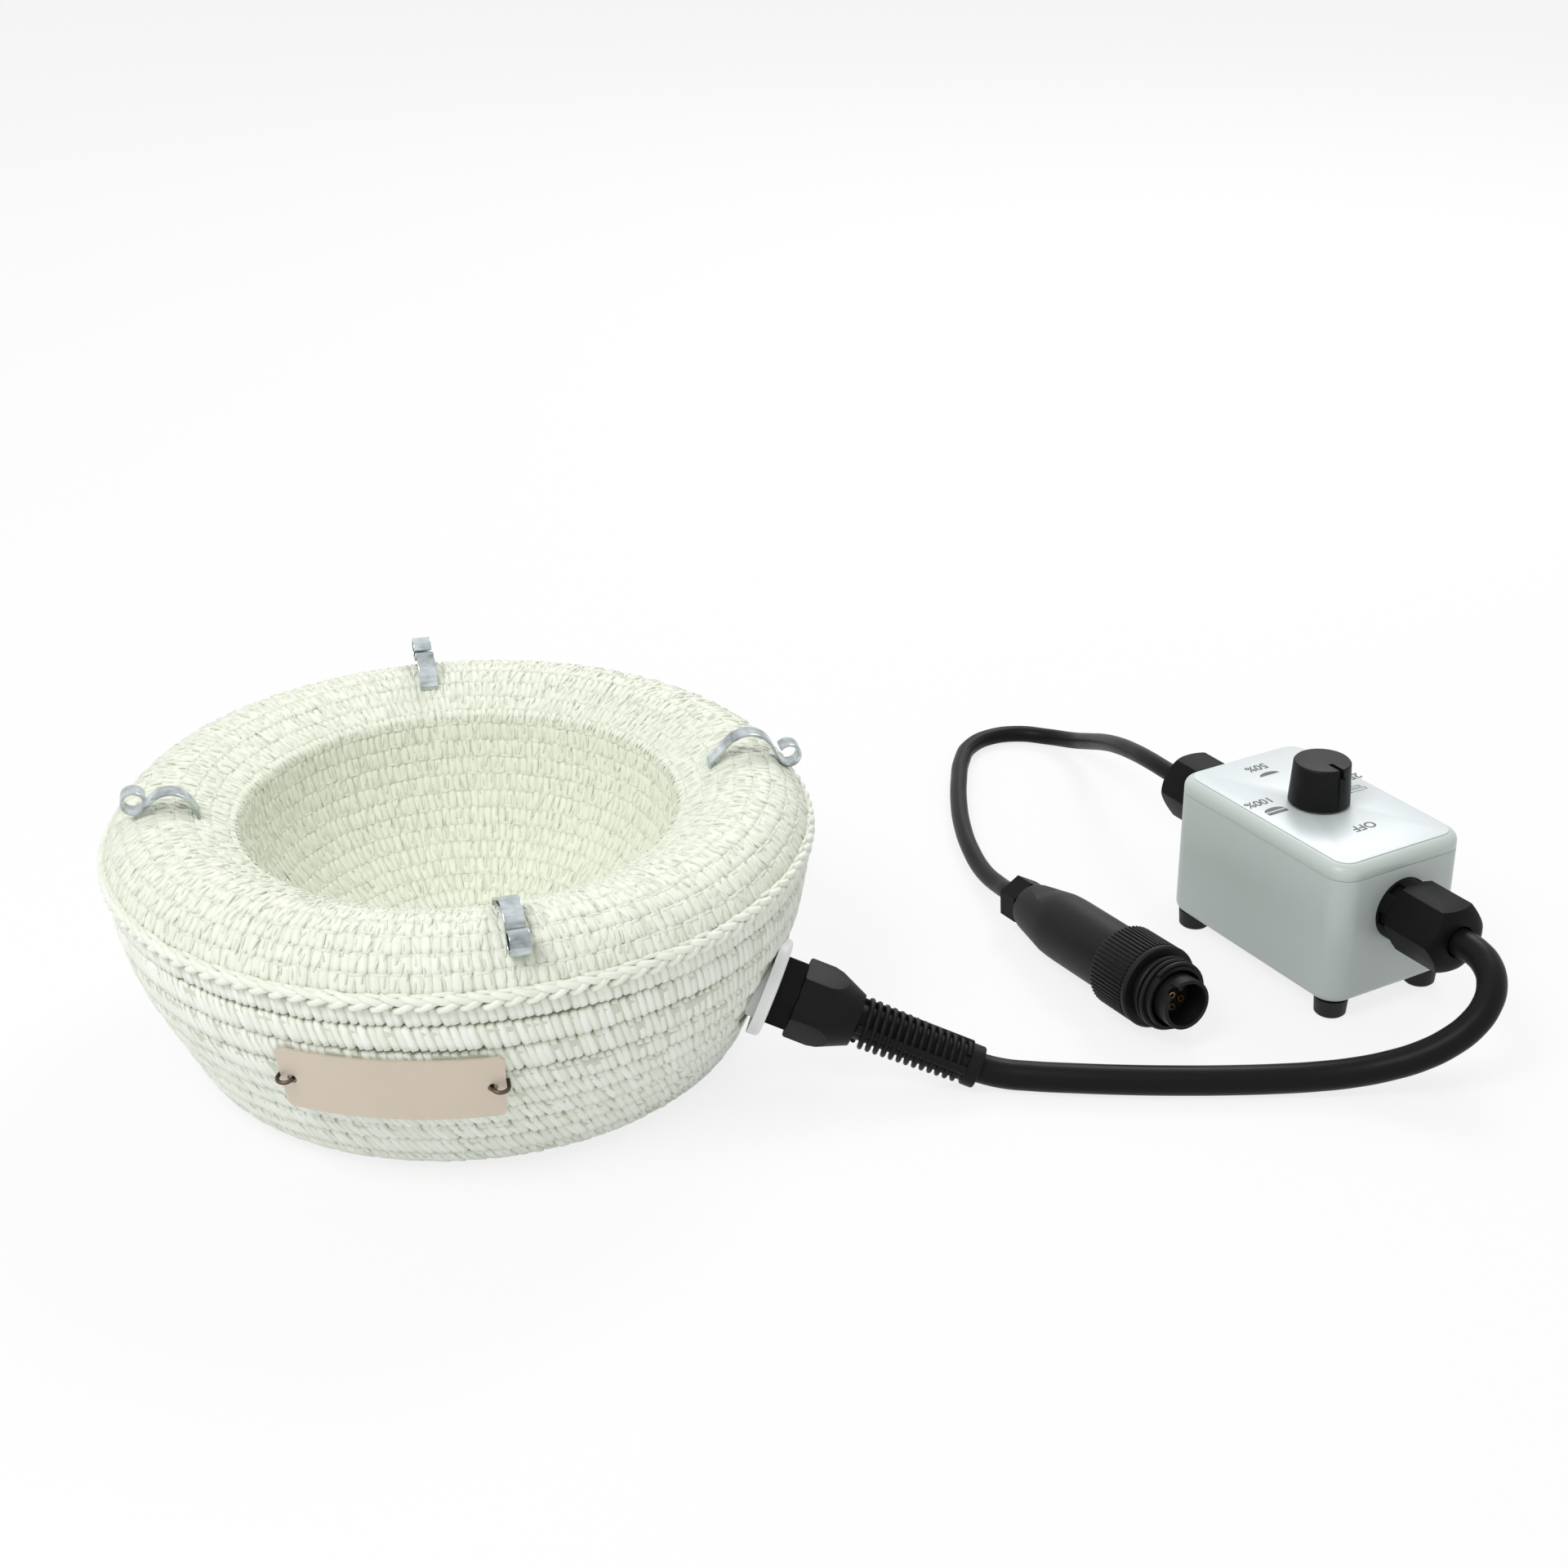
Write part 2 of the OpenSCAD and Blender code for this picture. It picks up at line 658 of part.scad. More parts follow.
module box_base() {
    color(grey) at_box() difference() {
        union() {
            difference() {
                union() {
                    rounded_plate(0, foot_h + box_edge, seam_z - foot_h - box_edge);
                    edge_stack(foot_h + box_edge, -1);
                }
                rounded_plate(box_wall, foot_h + 3, seam_z);
                translate([0, 0, seam_z - 1]) gasket_ring(0.1, 2);
            }
            at_pillars() translate([0, 0, foot_h + 2.5])
                cylinder(r = 4, h = seam_z - foot_h - 2.5 - seat);
        }
        at_pillars() {
            translate([0, 0, foot_h - 1]) cylinder(r = 3.3, h = 5);
            cylinder(r = 1.8, h = box_top);
        }
        for (s = [-1, 1]) translate([s * box_l / 2, 0, lead_z]) rotate([0, 90, 0])
            cylinder(r = thread_r + fit_gap, h = 4 * box_wall, center = true);
    }
}

module gasket_ring(gap, h) {
    difference() {
        rounded_plate(0.7 - gap, 0, h);
        rounded_plate(1.9 + gap, -1, h + 2);
    }
}

module box_gasket() {
    color([0.2, 0.2, 0.2]) at_box() translate([0, 0, seam_z - 1]) gasket_ring(0, 1);
}

bush_r = 5;
module box_lid() {
    color([0.80, 0.84, 0.82]) at_box() difference() {
        union() {
            difference() {
                union() {
                    rounded_plate(0, seam_z, lid_h - box_edge);
                    edge_stack(box_top - box_edge, 1);
                }
                rounded_plate(box_wall, seam_z - 1, lid_h - 2.4 + 1);
            }
            at_pillars() translate([0, 0, seam_z]) cylinder(r = 4, h = lid_h - 2);
        }
        at_pillars() translate([0, 0, seam_z - 1]) cylinder(r = 1.5, h = lid_h - 1);
        translate([dial_x, 0, seam_z]) cylinder(r = bush_r + 0.1, h = lid_h + 2);
    }
}

module box_screws() {
    color(steel) at_box() at_pillars() {
        translate([0, 0, foot_h + 2.5]) difference() {
            cylinder(r = 2.8, h = 1.5);
            translate([0, 0, -1]) cylinder(r = 1.4, h = 1.9, $fn = 6);
        }
        translate([0, 0, foot_h + 4 - eps]) cylinder(r = 1.5, h = seam_z - foot_h - 4 + lid_h - 2.2);
    }
}

module box_feet() {
    color(rubber) at_box() at_pillars() {
        rotate_extrude() polygon([[0, 0], [foot_r - 1, 0], [foot_r - 0.4, 0.6],
            [foot_r, foot_h], [0, foot_h]]);
        translate([0, 0, foot_h - eps]) cylinder(r = 3, h = 2.3);
    }
}

label_in = 2.9;
module dial_label() {
    color("white") at_box() difference() {
        rounded_plate(label_in, box_top, label_t);
        translate([dial_x, 0, box_top - 1]) cylinder(r = bush_r + 0.4, h = 3);
    }
}

// ---- switch ----------------------------------------------------------------

lid_under = box_top - 2.4;
switch_top = lid_under - seat;
module at_dial() { at_box() translate([dial_x, 0, 0]) children(); }

module switch_body() {
    color([0.25, 0.22, 0.2]) at_dial() difference() {
        union() {
            translate([-switch_w / 2, -switch_w / 2, switch_top - switch_h])
                cube([switch_w, switch_w, switch_h]);
            cylinder_at(bush_r, switch_top - eps, bush_h);
            for (i = [0 : 7]) rotate([0, 0, 22.5 + 45 * i])
                translate([9, -1.2, switch_top - switch_h - 4]) cube([0.8, 2.4, 4.1]);
        }
        cylinder_at(shaft_r + shaft_gap, switch_top - switch_h + 4, switch_h + 20);
    }
}

bush_h = 2.4 + seat + label_t + 3.2;
module cylinder_at(r, z, h) { translate([0, 0, z]) cylinder(r = r, h = h); }

nut_z = box_top + label_t;
module switch_nut() {
    color(steel) at_dial() translate([0, 0, nut_z]) difference() {
        hex(12.6, 2.2);
        translate([0, 0, -1]) cylinder(r = bush_r + 0.1, h = 5);
    }
}

knob_z = box_top + label_t + 0.9;
module switch_shaft() {
    color(steel) at_dial() cylinder_at(shaft_r, switch_top - switch_h + 4.2,
        knob_z + knob_h - 3.4 - switch_top + switch_h - 4.2);
}

module knob() {
    color(nylon) at_dial() difference() {
        union() {
            rotate_extrude() polygon([[0, knob_z], [knob_r, knob_z], [knob_top_r, knob_z + knob_h - 0.5],
                [knob_top_r - 0.5, knob_z + knob_h], [0, knob_z + knob_h]]);
            translate([knob_top_r - 1.2, -1, knob_z])
                cube([knob_r - knob_top_r + 1.7, 2, knob_h - 3]);
        }
        cylinder_at(8, knob_z - 1, 4.6);
        cylinder_at(shaft_r + 0.02, knob_z, knob_h - 3);
        translate([3.6, -0.9, knob_z + knob_h - 3]) cube([knob_r, 1.8, 4]);
    }
}

// ---- inside the box --------------------------------------------------------

strip = [30, 14, 9];
strip_z = foot_h + 3 + seat;
box_tail = 14;
module box_terminals() {
    color([0.85, 0.85, 0.8]) at_box() difference() {
        translate([-strip.x / 2, -strip.y / 2, strip_z]) cube(strip);
        for (i = [-2 : 2]) translate([i * 5.6, strip.y / 5, strip_z + 3])
            cylinder(r = 1.7, h = strip.z);
    }
}

// wires from a lead's end down to the terminals; side is 1 at the front gland
module tail_wires(side, lead_r) {
    tail_x = box_l / 2 - box_tail;
    drop_x = strip.x / 2 + 3;
    entry_z = strip_z + strip.z / 2;
    thick = 0.22 * lead_r;
    for (i = [-1 : 1]) {
        y = i * 0.64 * lead_r;
        rod([side * tail_x, y, lead_z], [side * (drop_x - 1.3 * thick), y, lead_z], thick);
        rod([side * drop_x, y, lead_z], [side * drop_x, y, entry_z], 0.9 * thick);
        rod([side * (drop_x + 1.3 * thick), y, entry_z], [side * strip.x / 2, y, entry_z], thick);
    }
}

module box_wires() {
    color(copper) at_box() {
        tail_wires(1, power_r);
        tail_wires(-1, signal_r);
        // from the terminals up to the switch
        for (i = [-1 : 1]) rod([i * 7, -strip.y / 4, strip_z + strip.z],
            [i * 7, -strip.y / 4, switch_top - switch_h], wire_r);
    }
}

// ---- box glands ------------------------------------------------------------

module at_front() { at_box() translate([box_l / 2, 0, lead_z]) rotate([0, 90, 0]) children(); }
module at_rear() { at_box() translate([-box_l / 2, 0, lead_z]) rotate([0, -90, 0]) children(); }

module box_gland_body(bore) {
    color(nylon) difference() {
        union() {
            translate([0, 0, -box_wall - 6]) cylinder(r = thread_r, h = box_wall + 6.1);
            difference() {
                cylinder(r = hex_af / 2, h = hex_h - 2);
                for (i = [0 : 5]) rotate([0, 0, 60 * i + 30]) translate([hex_af / 2 - 1.3, -2.2, 1])
                    cube([4, 4.4, hex_h]);
            }
            cylinder(r = thread_r - 0.5, h = hex_h + 7);
        }
        translate([0, 0, -box_wall - 7]) cylinder(r = bore, h = hex_h + box_wall + 16);
        translate([0, 0, hex_h + 1]) cylinder(r = thread_r - 1.6, h = 7);
    }
}

dome_end = seal_z + 8;
module box_gland_nut(mouth) {
    z0 = hex_h - 2 + seat;
    h = dome_end - z0;
    color(nylon) difference() {
        translate([0, 0, z0]) intersection() {
            hex(nut_af, h);
            rotate_extrude() polygon(concat([[0, 0], [11.2, 0], [12.4, 1.2], [12.4, h - 10.5]],
                arc([mouth + 1.2, h - 7], 7, 20, 90, 7), [[mouth, h], [0, h]]));
        }
        translate([0, 0, z0 - 1]) cylinder(r = thread_r - 0.5 + fit_gap, h = hex_h + 8.4 - z0);
        translate([0, 0, hex_h]) cylinder(r = thread_r - 1.6 + fit_gap, h = seal_z - hex_h);
        cylinder(r = mouth, h = 40);
    }
}

mouth_r = power_r + 0.6;
module front_gland_body() { at_front() box_gland_body(power_r + 0.6); }
module front_gland_locknut() { at_front() locknut_of_gland(-box_wall - locknut_t - seat); }
module front_gland_seal() { at_front() seal_of_gland(power_r + 0.1); }
module front_gland_nut() { at_front() box_gland_nut(mouth_r); }
module rear_gland_body() { at_rear() box_gland_body(signal_r + 0.6); }
module rear_gland_locknut() { at_rear() locknut_of_gland(-box_wall - locknut_t - seat); }
module rear_gland_seal() { at_rear() seal_of_gland(signal_r + 0.1); }
module rear_gland_nut() { at_rear() box_gland_nut(mouth_r); }

module power_lead_box_tail() {
    color(rubber) at_front() translate([0, 0, -box_tail]) cylinder(r = power_r, h = box_tail + seal_z);
}

module signal_lead_box_tail() {
    color(rubber) at_rear() translate([0, 0, -box_tail]) cylinder(r = signal_r, h = box_tail + seal_z);
}

// ---- connector -------------------------------------------------------------

plug_at = [177.9, 61.6, 9.35];
plug_turn = -62;
plug_rise = 4.3;
back_l = 8.4;
shell_z = back_l + seat;
ring_z = shell_z + shell_l;
front_z = ring_z + ring_l + ring_thread_l;
plug_seal_z = 5;

module at_plug() {
    translate(plug_at) rotate([0, 0, plug_turn]) rotate([0, 90 - plug_rise, 0]) children();
}

module connector_nut() {
    color(nylon) at_plug() difference() {
        hex(14.2, back_l);
        translate([0, 0, -1]) cylinder(r = signal_r + 0.35, h = back_l + 2);
        translate([0, 0, plug_seal_z]) cylinder(r = 5.4, h = back_l);
    }
}

module connector_seal() {
    color(rubber) at_plug() difference() {
        translate([0, 0, plug_seal_z + seat]) cylinder(r = 5.2, h = back_l - plug_seal_z + 4);
        cylinder(r = signal_r - 0.4, h = 40);
    }
}

tenon_r = 9.4;
module connector_body() {
    color(nylon) at_plug() difference() {
        rotate_extrude() polygon([[0, shell_z], [7.9, shell_z], [8.6, shell_z + 2.5],
            [shell_r - 0.3, shell_z + 17], [shell_r, shell_z + 24], [shell_r, ring_z - seat],
            [tenon_r, ring_z - seat], [tenon_r, ring_z + 6], [0, ring_z + 6]]);
        cylinder_at(5.4, shell_z - 1, 7);
        cylinder_at(6.6, shell_z + 7, shell_l + 20);
        cylinder_at(4, shell_z, 20);
        for (s = [-1, 1]) translate([s * 14.4, 0, shell_z + 5.6]) cube([12, 12, 12.4], center = true);
    }
}

// ring that screws onto the mating half; it turns on the body's tenon and the insert
ring_bore = tenon_r + 0.08;
module coupling_ring() {
    z1 = ring_z + ring_l;
    pitch = ring_thread_l / 3;
    teeth = [for (i = [0 : 2]) let (z = z1 + pitch * i) each [[ring_thread_r - 1.5, z + 0.2 * pitch],
        [ring_thread_r, z + 0.45 * pitch], [ring_thread_r, z + 0.7 * pitch],
        [ring_thread_r - 1.5, z + 0.95 * pitch]]];
    color(nylon) at_plug() difference() {
        union() {
            rotate_extrude() polygon([[ring_bore, ring_z], [ring_r - 1.1, ring_z], [ring_r - 0.5, ring_z + 1],
                [ring_r - 0.5, z1 - 2], [ring_r, z1 - 1.6], [ring_r, z1 - 0.5], [ring_r - 0.5, z1],
                [ring_bore, z1]]);
            difference() {
                cylinder_at(ring_r, ring_z + 1, ring_l - 3);
                for (i = [0 : ring_flutes - 1]) rotate([0, 0, 360 / ring_flutes * i])
                    translate([ring_r + 0.25, 0, ring_z]) cylinder(r = 0.65, h = ring_l, $fn = 4);
                cylinder_at(ring_r - 1.4, ring_z, ring_l);
            }
            rotate_extrude() polygon(concat([[ring_bore, z1 - 1]], [[ring_thread_r - 1.5, z1 - 1]], teeth,
                [[ring_thread_r - 1.5, front_z], [ring_bore, front_z]]));
        }
        cylinder_at(ring_bore, ring_z - 1, ring_l + ring_thread_l + 2);
    }
}

mouth_wall = 1.3;
insert_z = ring_z + 6 + seat;
shroud_top = front_z + shroud_out;

// sleeve round the contact block; its flange sits on the body's tenon
module connector_shroud() {
    color(nylon) at_plug() rotate_extrude() polygon([[shroud_r - mouth_wall, insert_z],
        [tenon_r, insert_z], [tenon_r, front_z - 4], [shroud_r, front_z - 3],
        [shroud_r, shroud_top - 0.4], [shroud_r - 0.4, shroud_top],
        [shroud_r - mouth_wall, shroud_top]]);
}

// contact block, with a neck that reaches back into the body
module connector_insert() {
    color(nylon) at_plug() difference() {
        union() {
            cylinder_at(shroud_r - mouth_wall - fit_gap, insert_z, shroud_top - shroud_deep - insert_z);
            cylinder_at(6.4, insert_z - 5, 6);
        }
        contact_places() cylinder_at(1.25, insert_z - 6, 60);
    }
}

module contact_places() {
    children();
    for (i = [0 : contact_n - 1]) rotate([0, 0, 360 / contact_n * i]) translate([4, 0, 0]) children();
}

module connector_contacts() {
    top = shroud_top - shroud_deep;
    color([0.85, 0.75, 0.45]) at_plug() contact_places() difference() {
        cylinder_at(1.15, ring_z + 1.2 - 3, top + 1 - ring_z - 1.2 + 3);
        cylinder_at(0.7, top - 5, 10);
    }
}

// ---- leads -----------------------------------------------------------------

// middle line of the heavy lead, from the mantle's gland to the box's front gland
front_gland_end = box_at + (box_l / 2 + seal_z) * [cos(box_turn), sin(box_turn), 0] + [0, 0, lead_z];
POWER_ROUTE = [gland_point(seal_z), gland_point(30), gland_point(42), gland_point(54),
    gland_point(65), [164.5, -42.4, 5], [173, -43.6, 4.7], [186, -45, 4.7], [202, -46.2, 4.7],
    [218, -46.8, 4.7], [233, -46.8, 4.7], [247, -46.4, 4.8], [259, -46.2, 5.4], [270, -46.6, 7],
    [280, -47.4, 9.8], [289, -48.2, 13.6], [297, -48, 18.2], [303.6, -46.2, 23], [308.4, -42.4, 27.6],
    [311, -36.6, 31.4], [311, -29.8, 34], [308.8, -23.6, 35.3],
    front_gland_end + 8 * [cos(box_turn), sin(box_turn), 0], front_gland_end];

// middle line of the light lead, from the box's rear gland to the connector
rear_gland_end = box_at - (box_l / 2 + seal_z) * [cos(box_turn), sin(box_turn), 0] + [0, 0, lead_z];
plug_axis = [cos(plug_turn) * cos(plug_rise), sin(plug_turn) * cos(plug_rise), sin(plug_rise)];
SIGNAL_ROUTE = [rear_gland_end, rear_gland_end - 8 * [cos(box_turn), sin(box_turn), 0],
    [233.4, 104.4, 35.5], [228.6, 116, 34.4], [224.6, 130, 31.4], [221, 146, 26.6],
    [218, 164, 19.6], [214.8, 180, 12.6], [210.2, 193.6, 6.8], [201.6, 203.6, 3.8],
    [190.5, 207.4, 3.4], [179, 204.4, 3.4], [170.8, 195.6, 3.4], [166.6, 182, 3.4],
    [164.6, 166, 3.4], [163.4, 148, 3.4], [163.4, 128, 3.4], [165.2, 108, 3.5],
    [168.6, 90, 4.2], [173, 75, 6.6], plug_at - 4 * plug_axis, plug_at + plug_seal_z * plug_axis];

function unit(v) = v / norm(v);
function route_dir(p, i) =
    i == 0 ? unit(p[1] - p[0])
    : i == len(p) - 1 ? unit(p[i] - p[i - 1])
    : unit(unit(p[i + 1] - p[i]) + unit(p[i] - p[i - 1]));

module swept_tube(p, r, sides) {
    n = len(p);
    points = [for (i = [0 : n - 1]) let (t = route_dir(p, i), a = unit(cross(t, [0, 0, 1])), b = cross(a, t))
        for (k = [0 : sides - 1]) let (w = 360 * (k + 0.5) / sides) p[i] + r * (cos(w) * a + sin(w) * b)];
    walls = [for (i = [0 : n - 2], k = [0 : sides - 1]) let (q = (k + 1) % sides)
        each [[i * sides + k, (i + 1) * sides + k, (i + 1) * sides + q],
            [i * sides + k, (i + 1) * sides + q, i * sides + q]]];
    start = [for (k = [0 : sides - 1]) k];
    end = [for (k = [sides - 1 : -1 : 0]) (n - 1) * sides + k];
    polyhedron(points = points, faces = concat(walls, [start], [end]), convexity = 6);
}

module power_lead() { color(rubber) swept_tube(POWER_ROUTE, power_r, 12); }
module signal_lead() { color(rubber) swept_tube(SIGNAL_ROUTE, signal_r, 10); }

heating_insert();
outer_cover();
seam_braid();
insulation();
heating_cord();
heater_leads();
terminal_block();
hook_left();
hook_front();
hook_right();
hook_rear();
name_plate();
plate_tie_left();
plate_tie_right();
gland_flange();
gland_body();
gland_locknut();
gland_seal();
spiral_nut();
power_lead_tail();
power_lead();
box_base();
box_lid();
box_gasket();
box_screws();
box_feet();
dial_label();
switch_body();
switch_nut();
switch_shaft();
knob();
box_terminals();
box_wires();
front_gland_body();
front_gland_locknut();
front_gland_seal();
front_gland_nut();
rear_gland_body();
rear_gland_locknut();
rear_gland_seal();
rear_gland_nut();
power_lead_box_tail();
signal_lead_box_tail();
signal_lead();
connector_nut();
connector_seal();
connector_body();
coupling_ring();
connector_shroud();
connector_insert();
connector_contacts();
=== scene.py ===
# %% [markdown]
# # A crocheted heating mantle with its switch box and leads
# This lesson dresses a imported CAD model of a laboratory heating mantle. The CAD
# solids give every size and place. Here each visible piece gets its real surface:
# stitches of glass yarn, bent zinc hooks, moulded nylon, rubber leads and a grey box.
# Lengths are in metres, and one helper turns millimetres into them.

# %% Load the frame
import math

import bpy
import numpy as np
from mathutils import Matrix, Vector


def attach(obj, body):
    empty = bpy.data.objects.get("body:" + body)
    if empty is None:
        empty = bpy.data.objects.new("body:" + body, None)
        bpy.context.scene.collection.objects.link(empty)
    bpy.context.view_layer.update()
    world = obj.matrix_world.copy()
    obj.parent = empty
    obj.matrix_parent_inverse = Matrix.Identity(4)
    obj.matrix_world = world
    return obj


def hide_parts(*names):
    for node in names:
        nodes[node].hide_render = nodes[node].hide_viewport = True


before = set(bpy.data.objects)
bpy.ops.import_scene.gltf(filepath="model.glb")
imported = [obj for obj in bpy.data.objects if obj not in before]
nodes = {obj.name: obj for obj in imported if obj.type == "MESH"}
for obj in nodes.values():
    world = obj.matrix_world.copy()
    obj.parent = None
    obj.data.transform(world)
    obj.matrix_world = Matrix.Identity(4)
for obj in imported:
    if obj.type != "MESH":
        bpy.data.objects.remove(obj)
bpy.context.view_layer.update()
mm = 0.001
print("CAD nodes:", len(nodes))


# %% [markdown]
# ## Camera
# The camera looks along +Y and down by about 27 degrees. Its place and lens are worked
# out from the object's known sizes, so it is set by numbers and not by eye.

# %% Camera
def add_object(name, data):
    """An object for a camera, a curve, a mesh or a lamp, linked to the scene."""
    added = bpy.data.objects.new(name, data)
    bpy.context.scene.collection.objects.link(added)
    return added


pitch, roll = math.radians(26.946), math.radians(-0.4498)
right = Vector((1, 0, 0))
forward = Vector((0, math.cos(pitch), -math.sin(pitch)))
up = Vector((0, math.sin(pitch), math.cos(pitch)))
turned_right = math.cos(roll) * right + math.sin(roll) * up
turned_up = math.cos(roll) * up - math.sin(roll) * right

camera_data = bpy.data.cameras.new("studio_camera")
camera_data.sensor_fit = "HORIZONTAL"
camera_data.sensor_width = 36
camera_data.lens = 57.285
camera_data.shift_x, camera_data.shift_y = -0.0039, 0.0332
camera = add_object("studio_camera", camera_data)
camera_place = (0.100719, -0.683130, 0.411861)
axes = Matrix((turned_right, turned_up, -forward)).transposed().to_4x4()
camera.matrix_world = Matrix.Translation(camera_place) @ axes
bpy.context.scene.camera = camera
print("camera at", tuple(round(v, 3) for v in camera.location))


# %% [markdown]
# ## Leads
# Two soft rubber leads lie on the table. A real lead bends in one smooth line, so each is
# a curve through the points of its route, with a round bevel for its thickness. Automatic
# handles keep the bends even. A mesh tube would do too, but a curve stays easy to change.

# %% Leads
def lead_curve(name, points_mm, radius_mm):
    """A round lead along the points, as one open spline."""
    data = bpy.data.curves.new(name, "CURVE")
    data.dimensions = "3D"
    data.resolution_u = 10
    data.bevel_depth = radius_mm * mm
    data.bevel_resolution = 7
    data.use_fill_caps = True
    spline = data.splines.new("BEZIER")
    spline.bezier_points.add(len(points_mm) - 1)
    for knot, place in zip(spline.bezier_points, points_mm):
        knot.co = Vector(place) * mm
        knot.handle_left_type = knot.handle_right_type = "AUTO"
    return add_object(name, data)


power_route = [
    (112.817, -34.3135, 22.8176), (123.954, -36.0775, 18.7133), (135.092, -37.8415, 14.6091),
    (146.229, -39.6055, 10.5049), (156.439, -41.2225, 6.7426), (164.5, -42.4, 5),
    (173, -43.6, 4.7), (186, -45, 4.7), (202, -46.2, 4.7), (218, -46.8, 4.7),
    (233, -46.8, 4.7), (247, -46.4, 4.8), (259, -46.2, 5.4), (270, -46.6, 7),
    (280, -47.4, 9.8), (289, -48.2, 13.6), (297, -48, 18.2), (303.6, -46.2, 23),
    (308.4, -42.4, 27.6), (311, -36.6, 31.4), (311, -29.8, 34), (308.8, -23.6, 35.3),
    (305.505, -18.029, 35.5), (301.445, -11.136, 35.5)]
signal_route = [
    (241.555, 90.536, 35.5), (237.495, 97.429, 35.5), (233.4, 104.4, 35.5),
    (228.6, 116, 34.4), (224.6, 130, 31.4), (221, 146, 26.6), (218, 164, 19.6),
    (214.8, 180, 12.6), (210.2, 193.6, 6.8), (201.6, 203.6, 3.8), (190.5, 207.4, 3.4),
    (179, 204.4, 3.4), (170.8, 195.6, 3.4), (166.6, 182, 3.4), (164.6, 166, 3.4),
    (163.4, 148, 3.4), (163.4, 128, 3.4), (165.2, 108, 3.5), (168.6, 90, 4.2),
    (173, 75, 6.6), (176.03, 65.12, 9.05), (180.24, 57.20, 9.72)]
heavy_lead_r, light_lead_r = 4.6, 3.15
power_lead = lead_curve("heavy_lead", power_route, heavy_lead_r)
signal_lead = lead_curve("light_lead", signal_route, light_lead_r)
print("lead points:", len(power_route), len(signal_route))


# %% [markdown]
# ## Helpers for modelling
# A new piece starts as a primitive, a curve or a text, and is shaped with the tools one
# would use by hand. The helpers below only bundle the steps that come back for each piece:
# clear the selection, turn a profile, cut with another shape, round the edges, and put it
# in place.

# %% Helpers for selecting and placing
def clear_selection():
    """Leaves edit mode and deselects everything, the CAD nodes included."""
    if bpy.context.object and bpy.context.object.mode != "OBJECT":
        bpy.ops.object.mode_set(mode="OBJECT")
    bpy.ops.object.select_all(action="DESELECT")


def pick(piece):
    """Selects one piece and makes it active."""
    clear_selection()
    piece.select_set(True)
    bpy.context.view_layer.objects.active = piece
    return piece


def place(piece, matrix):
    """Puts a piece's place into its mesh, so that its object stays at the origin."""
    pick(piece)
    piece.matrix_world = matrix @ piece.matrix_world
    bpy.ops.object.transform_apply(location=True, rotation=True, scale=True)
    return piece


def join(pieces, name):
    """Joins pieces into the first one."""
    pick(pieces[0])
    for piece in pieces[1:]:
        piece.select_set(True)
    bpy.ops.object.join()
    pieces[0].name = name
    return pieces[0]


def as_mesh(piece):
    """Turns a curve or a text into a mesh."""
    pick(piece)
    bpy.ops.object.convert(target="MESH")
    return bpy.context.object


print("helpers for selecting and placing are ready")


# %% Helpers for shaping
def tidy_mesh(piece):
    """Merges doubles and turns the faces outwards."""
    same_place = 0.02 * mm
    pick(piece)
    bpy.ops.object.mode_set(mode="EDIT")
    bpy.ops.mesh.select_all(action="SELECT")
    bpy.ops.mesh.remove_doubles(threshold=same_place)
    bpy.ops.mesh.normals_make_consistent(inside=False)
    bpy.ops.object.mode_set(mode="OBJECT")
    return piece


def turned(name, outline_mm, sides=96):
    """A turned piece: a circle, extruded and scaled to each next point (radius, height).

    A radius of zero couldn't be scaled up again, so a tiny one stands for it."""
    clear_selection()
    tip_r = 0.004
    outline = [(max(r, tip_r) * mm, z * mm) for r, z in outline_mm]
    bpy.ops.mesh.primitive_circle_add(vertices=sides, radius=outline[0][0],
                                      location=(0, 0, outline[0][1]))
    piece = bpy.context.object
    piece.name = name
    bpy.ops.object.transform_apply(location=True, rotation=True, scale=True)
    bpy.ops.object.mode_set(mode="EDIT")
    bpy.ops.mesh.select_all(action="SELECT")
    for (r0, z0), (r1, z1) in zip(outline, outline[1:]):
        bpy.ops.mesh.extrude_region_move(TRANSFORM_OT_translate={"value": (0, 0, z1 - z0)})
        bpy.ops.transform.resize(value=(r1 / r0, r1 / r0, 1), center_override=(0, 0, 0))
    bpy.ops.object.mode_set(mode="OBJECT")
    return tidy_mesh(piece)


def modified(piece, kind, **settings):
    """Adds a modifier with its settings and applies it."""
    pick(piece)
    modifier = piece.modifiers.new(kind.lower(), kind)
    for key, value in settings.items():
        setattr(modifier, key, value)
    bpy.ops.object.modifier_apply(modifier=modifier.name)
    return piece


def cut(piece, tool, operation="DIFFERENCE"):
    """Cuts a piece with a tool, or keeps what both share, and removes the tool."""
    modified(piece, "BOOLEAN", object=tool, operation=operation, solver="EXACT")
    bpy.data.objects.remove(tool)
    return piece


def rounded_edges(piece, width_mm, segments=2, angle=32):
    """Rounds the edges that turn by more than an angle."""
    return modified(piece, "BEVEL", width=width_mm * mm, segments=segments,
                    limit_method="ANGLE", angle_limit=math.radians(angle),
                    harden_normals=False)


def smooth(piece, angle=38):
    """Shades a piece smooth, and keeps the edges that turn by more than an angle."""
    pick(piece)
    bpy.ops.object.shade_smooth_by_angle(angle=math.radians(angle))
    return piece


def block(name, size_mm, centre_mm=(0, 0, 0)):
    """A cuboid of a size, centred on a point."""
    clear_selection()
    bpy.ops.mesh.primitive_cube_add(size=mm, location=Vector(centre_mm) * mm)
    piece = bpy.context.object
    piece.name = name
    piece.scale = size_mm
    bpy.ops.object.transform_apply(location=True, rotation=True, scale=True)
    return piece


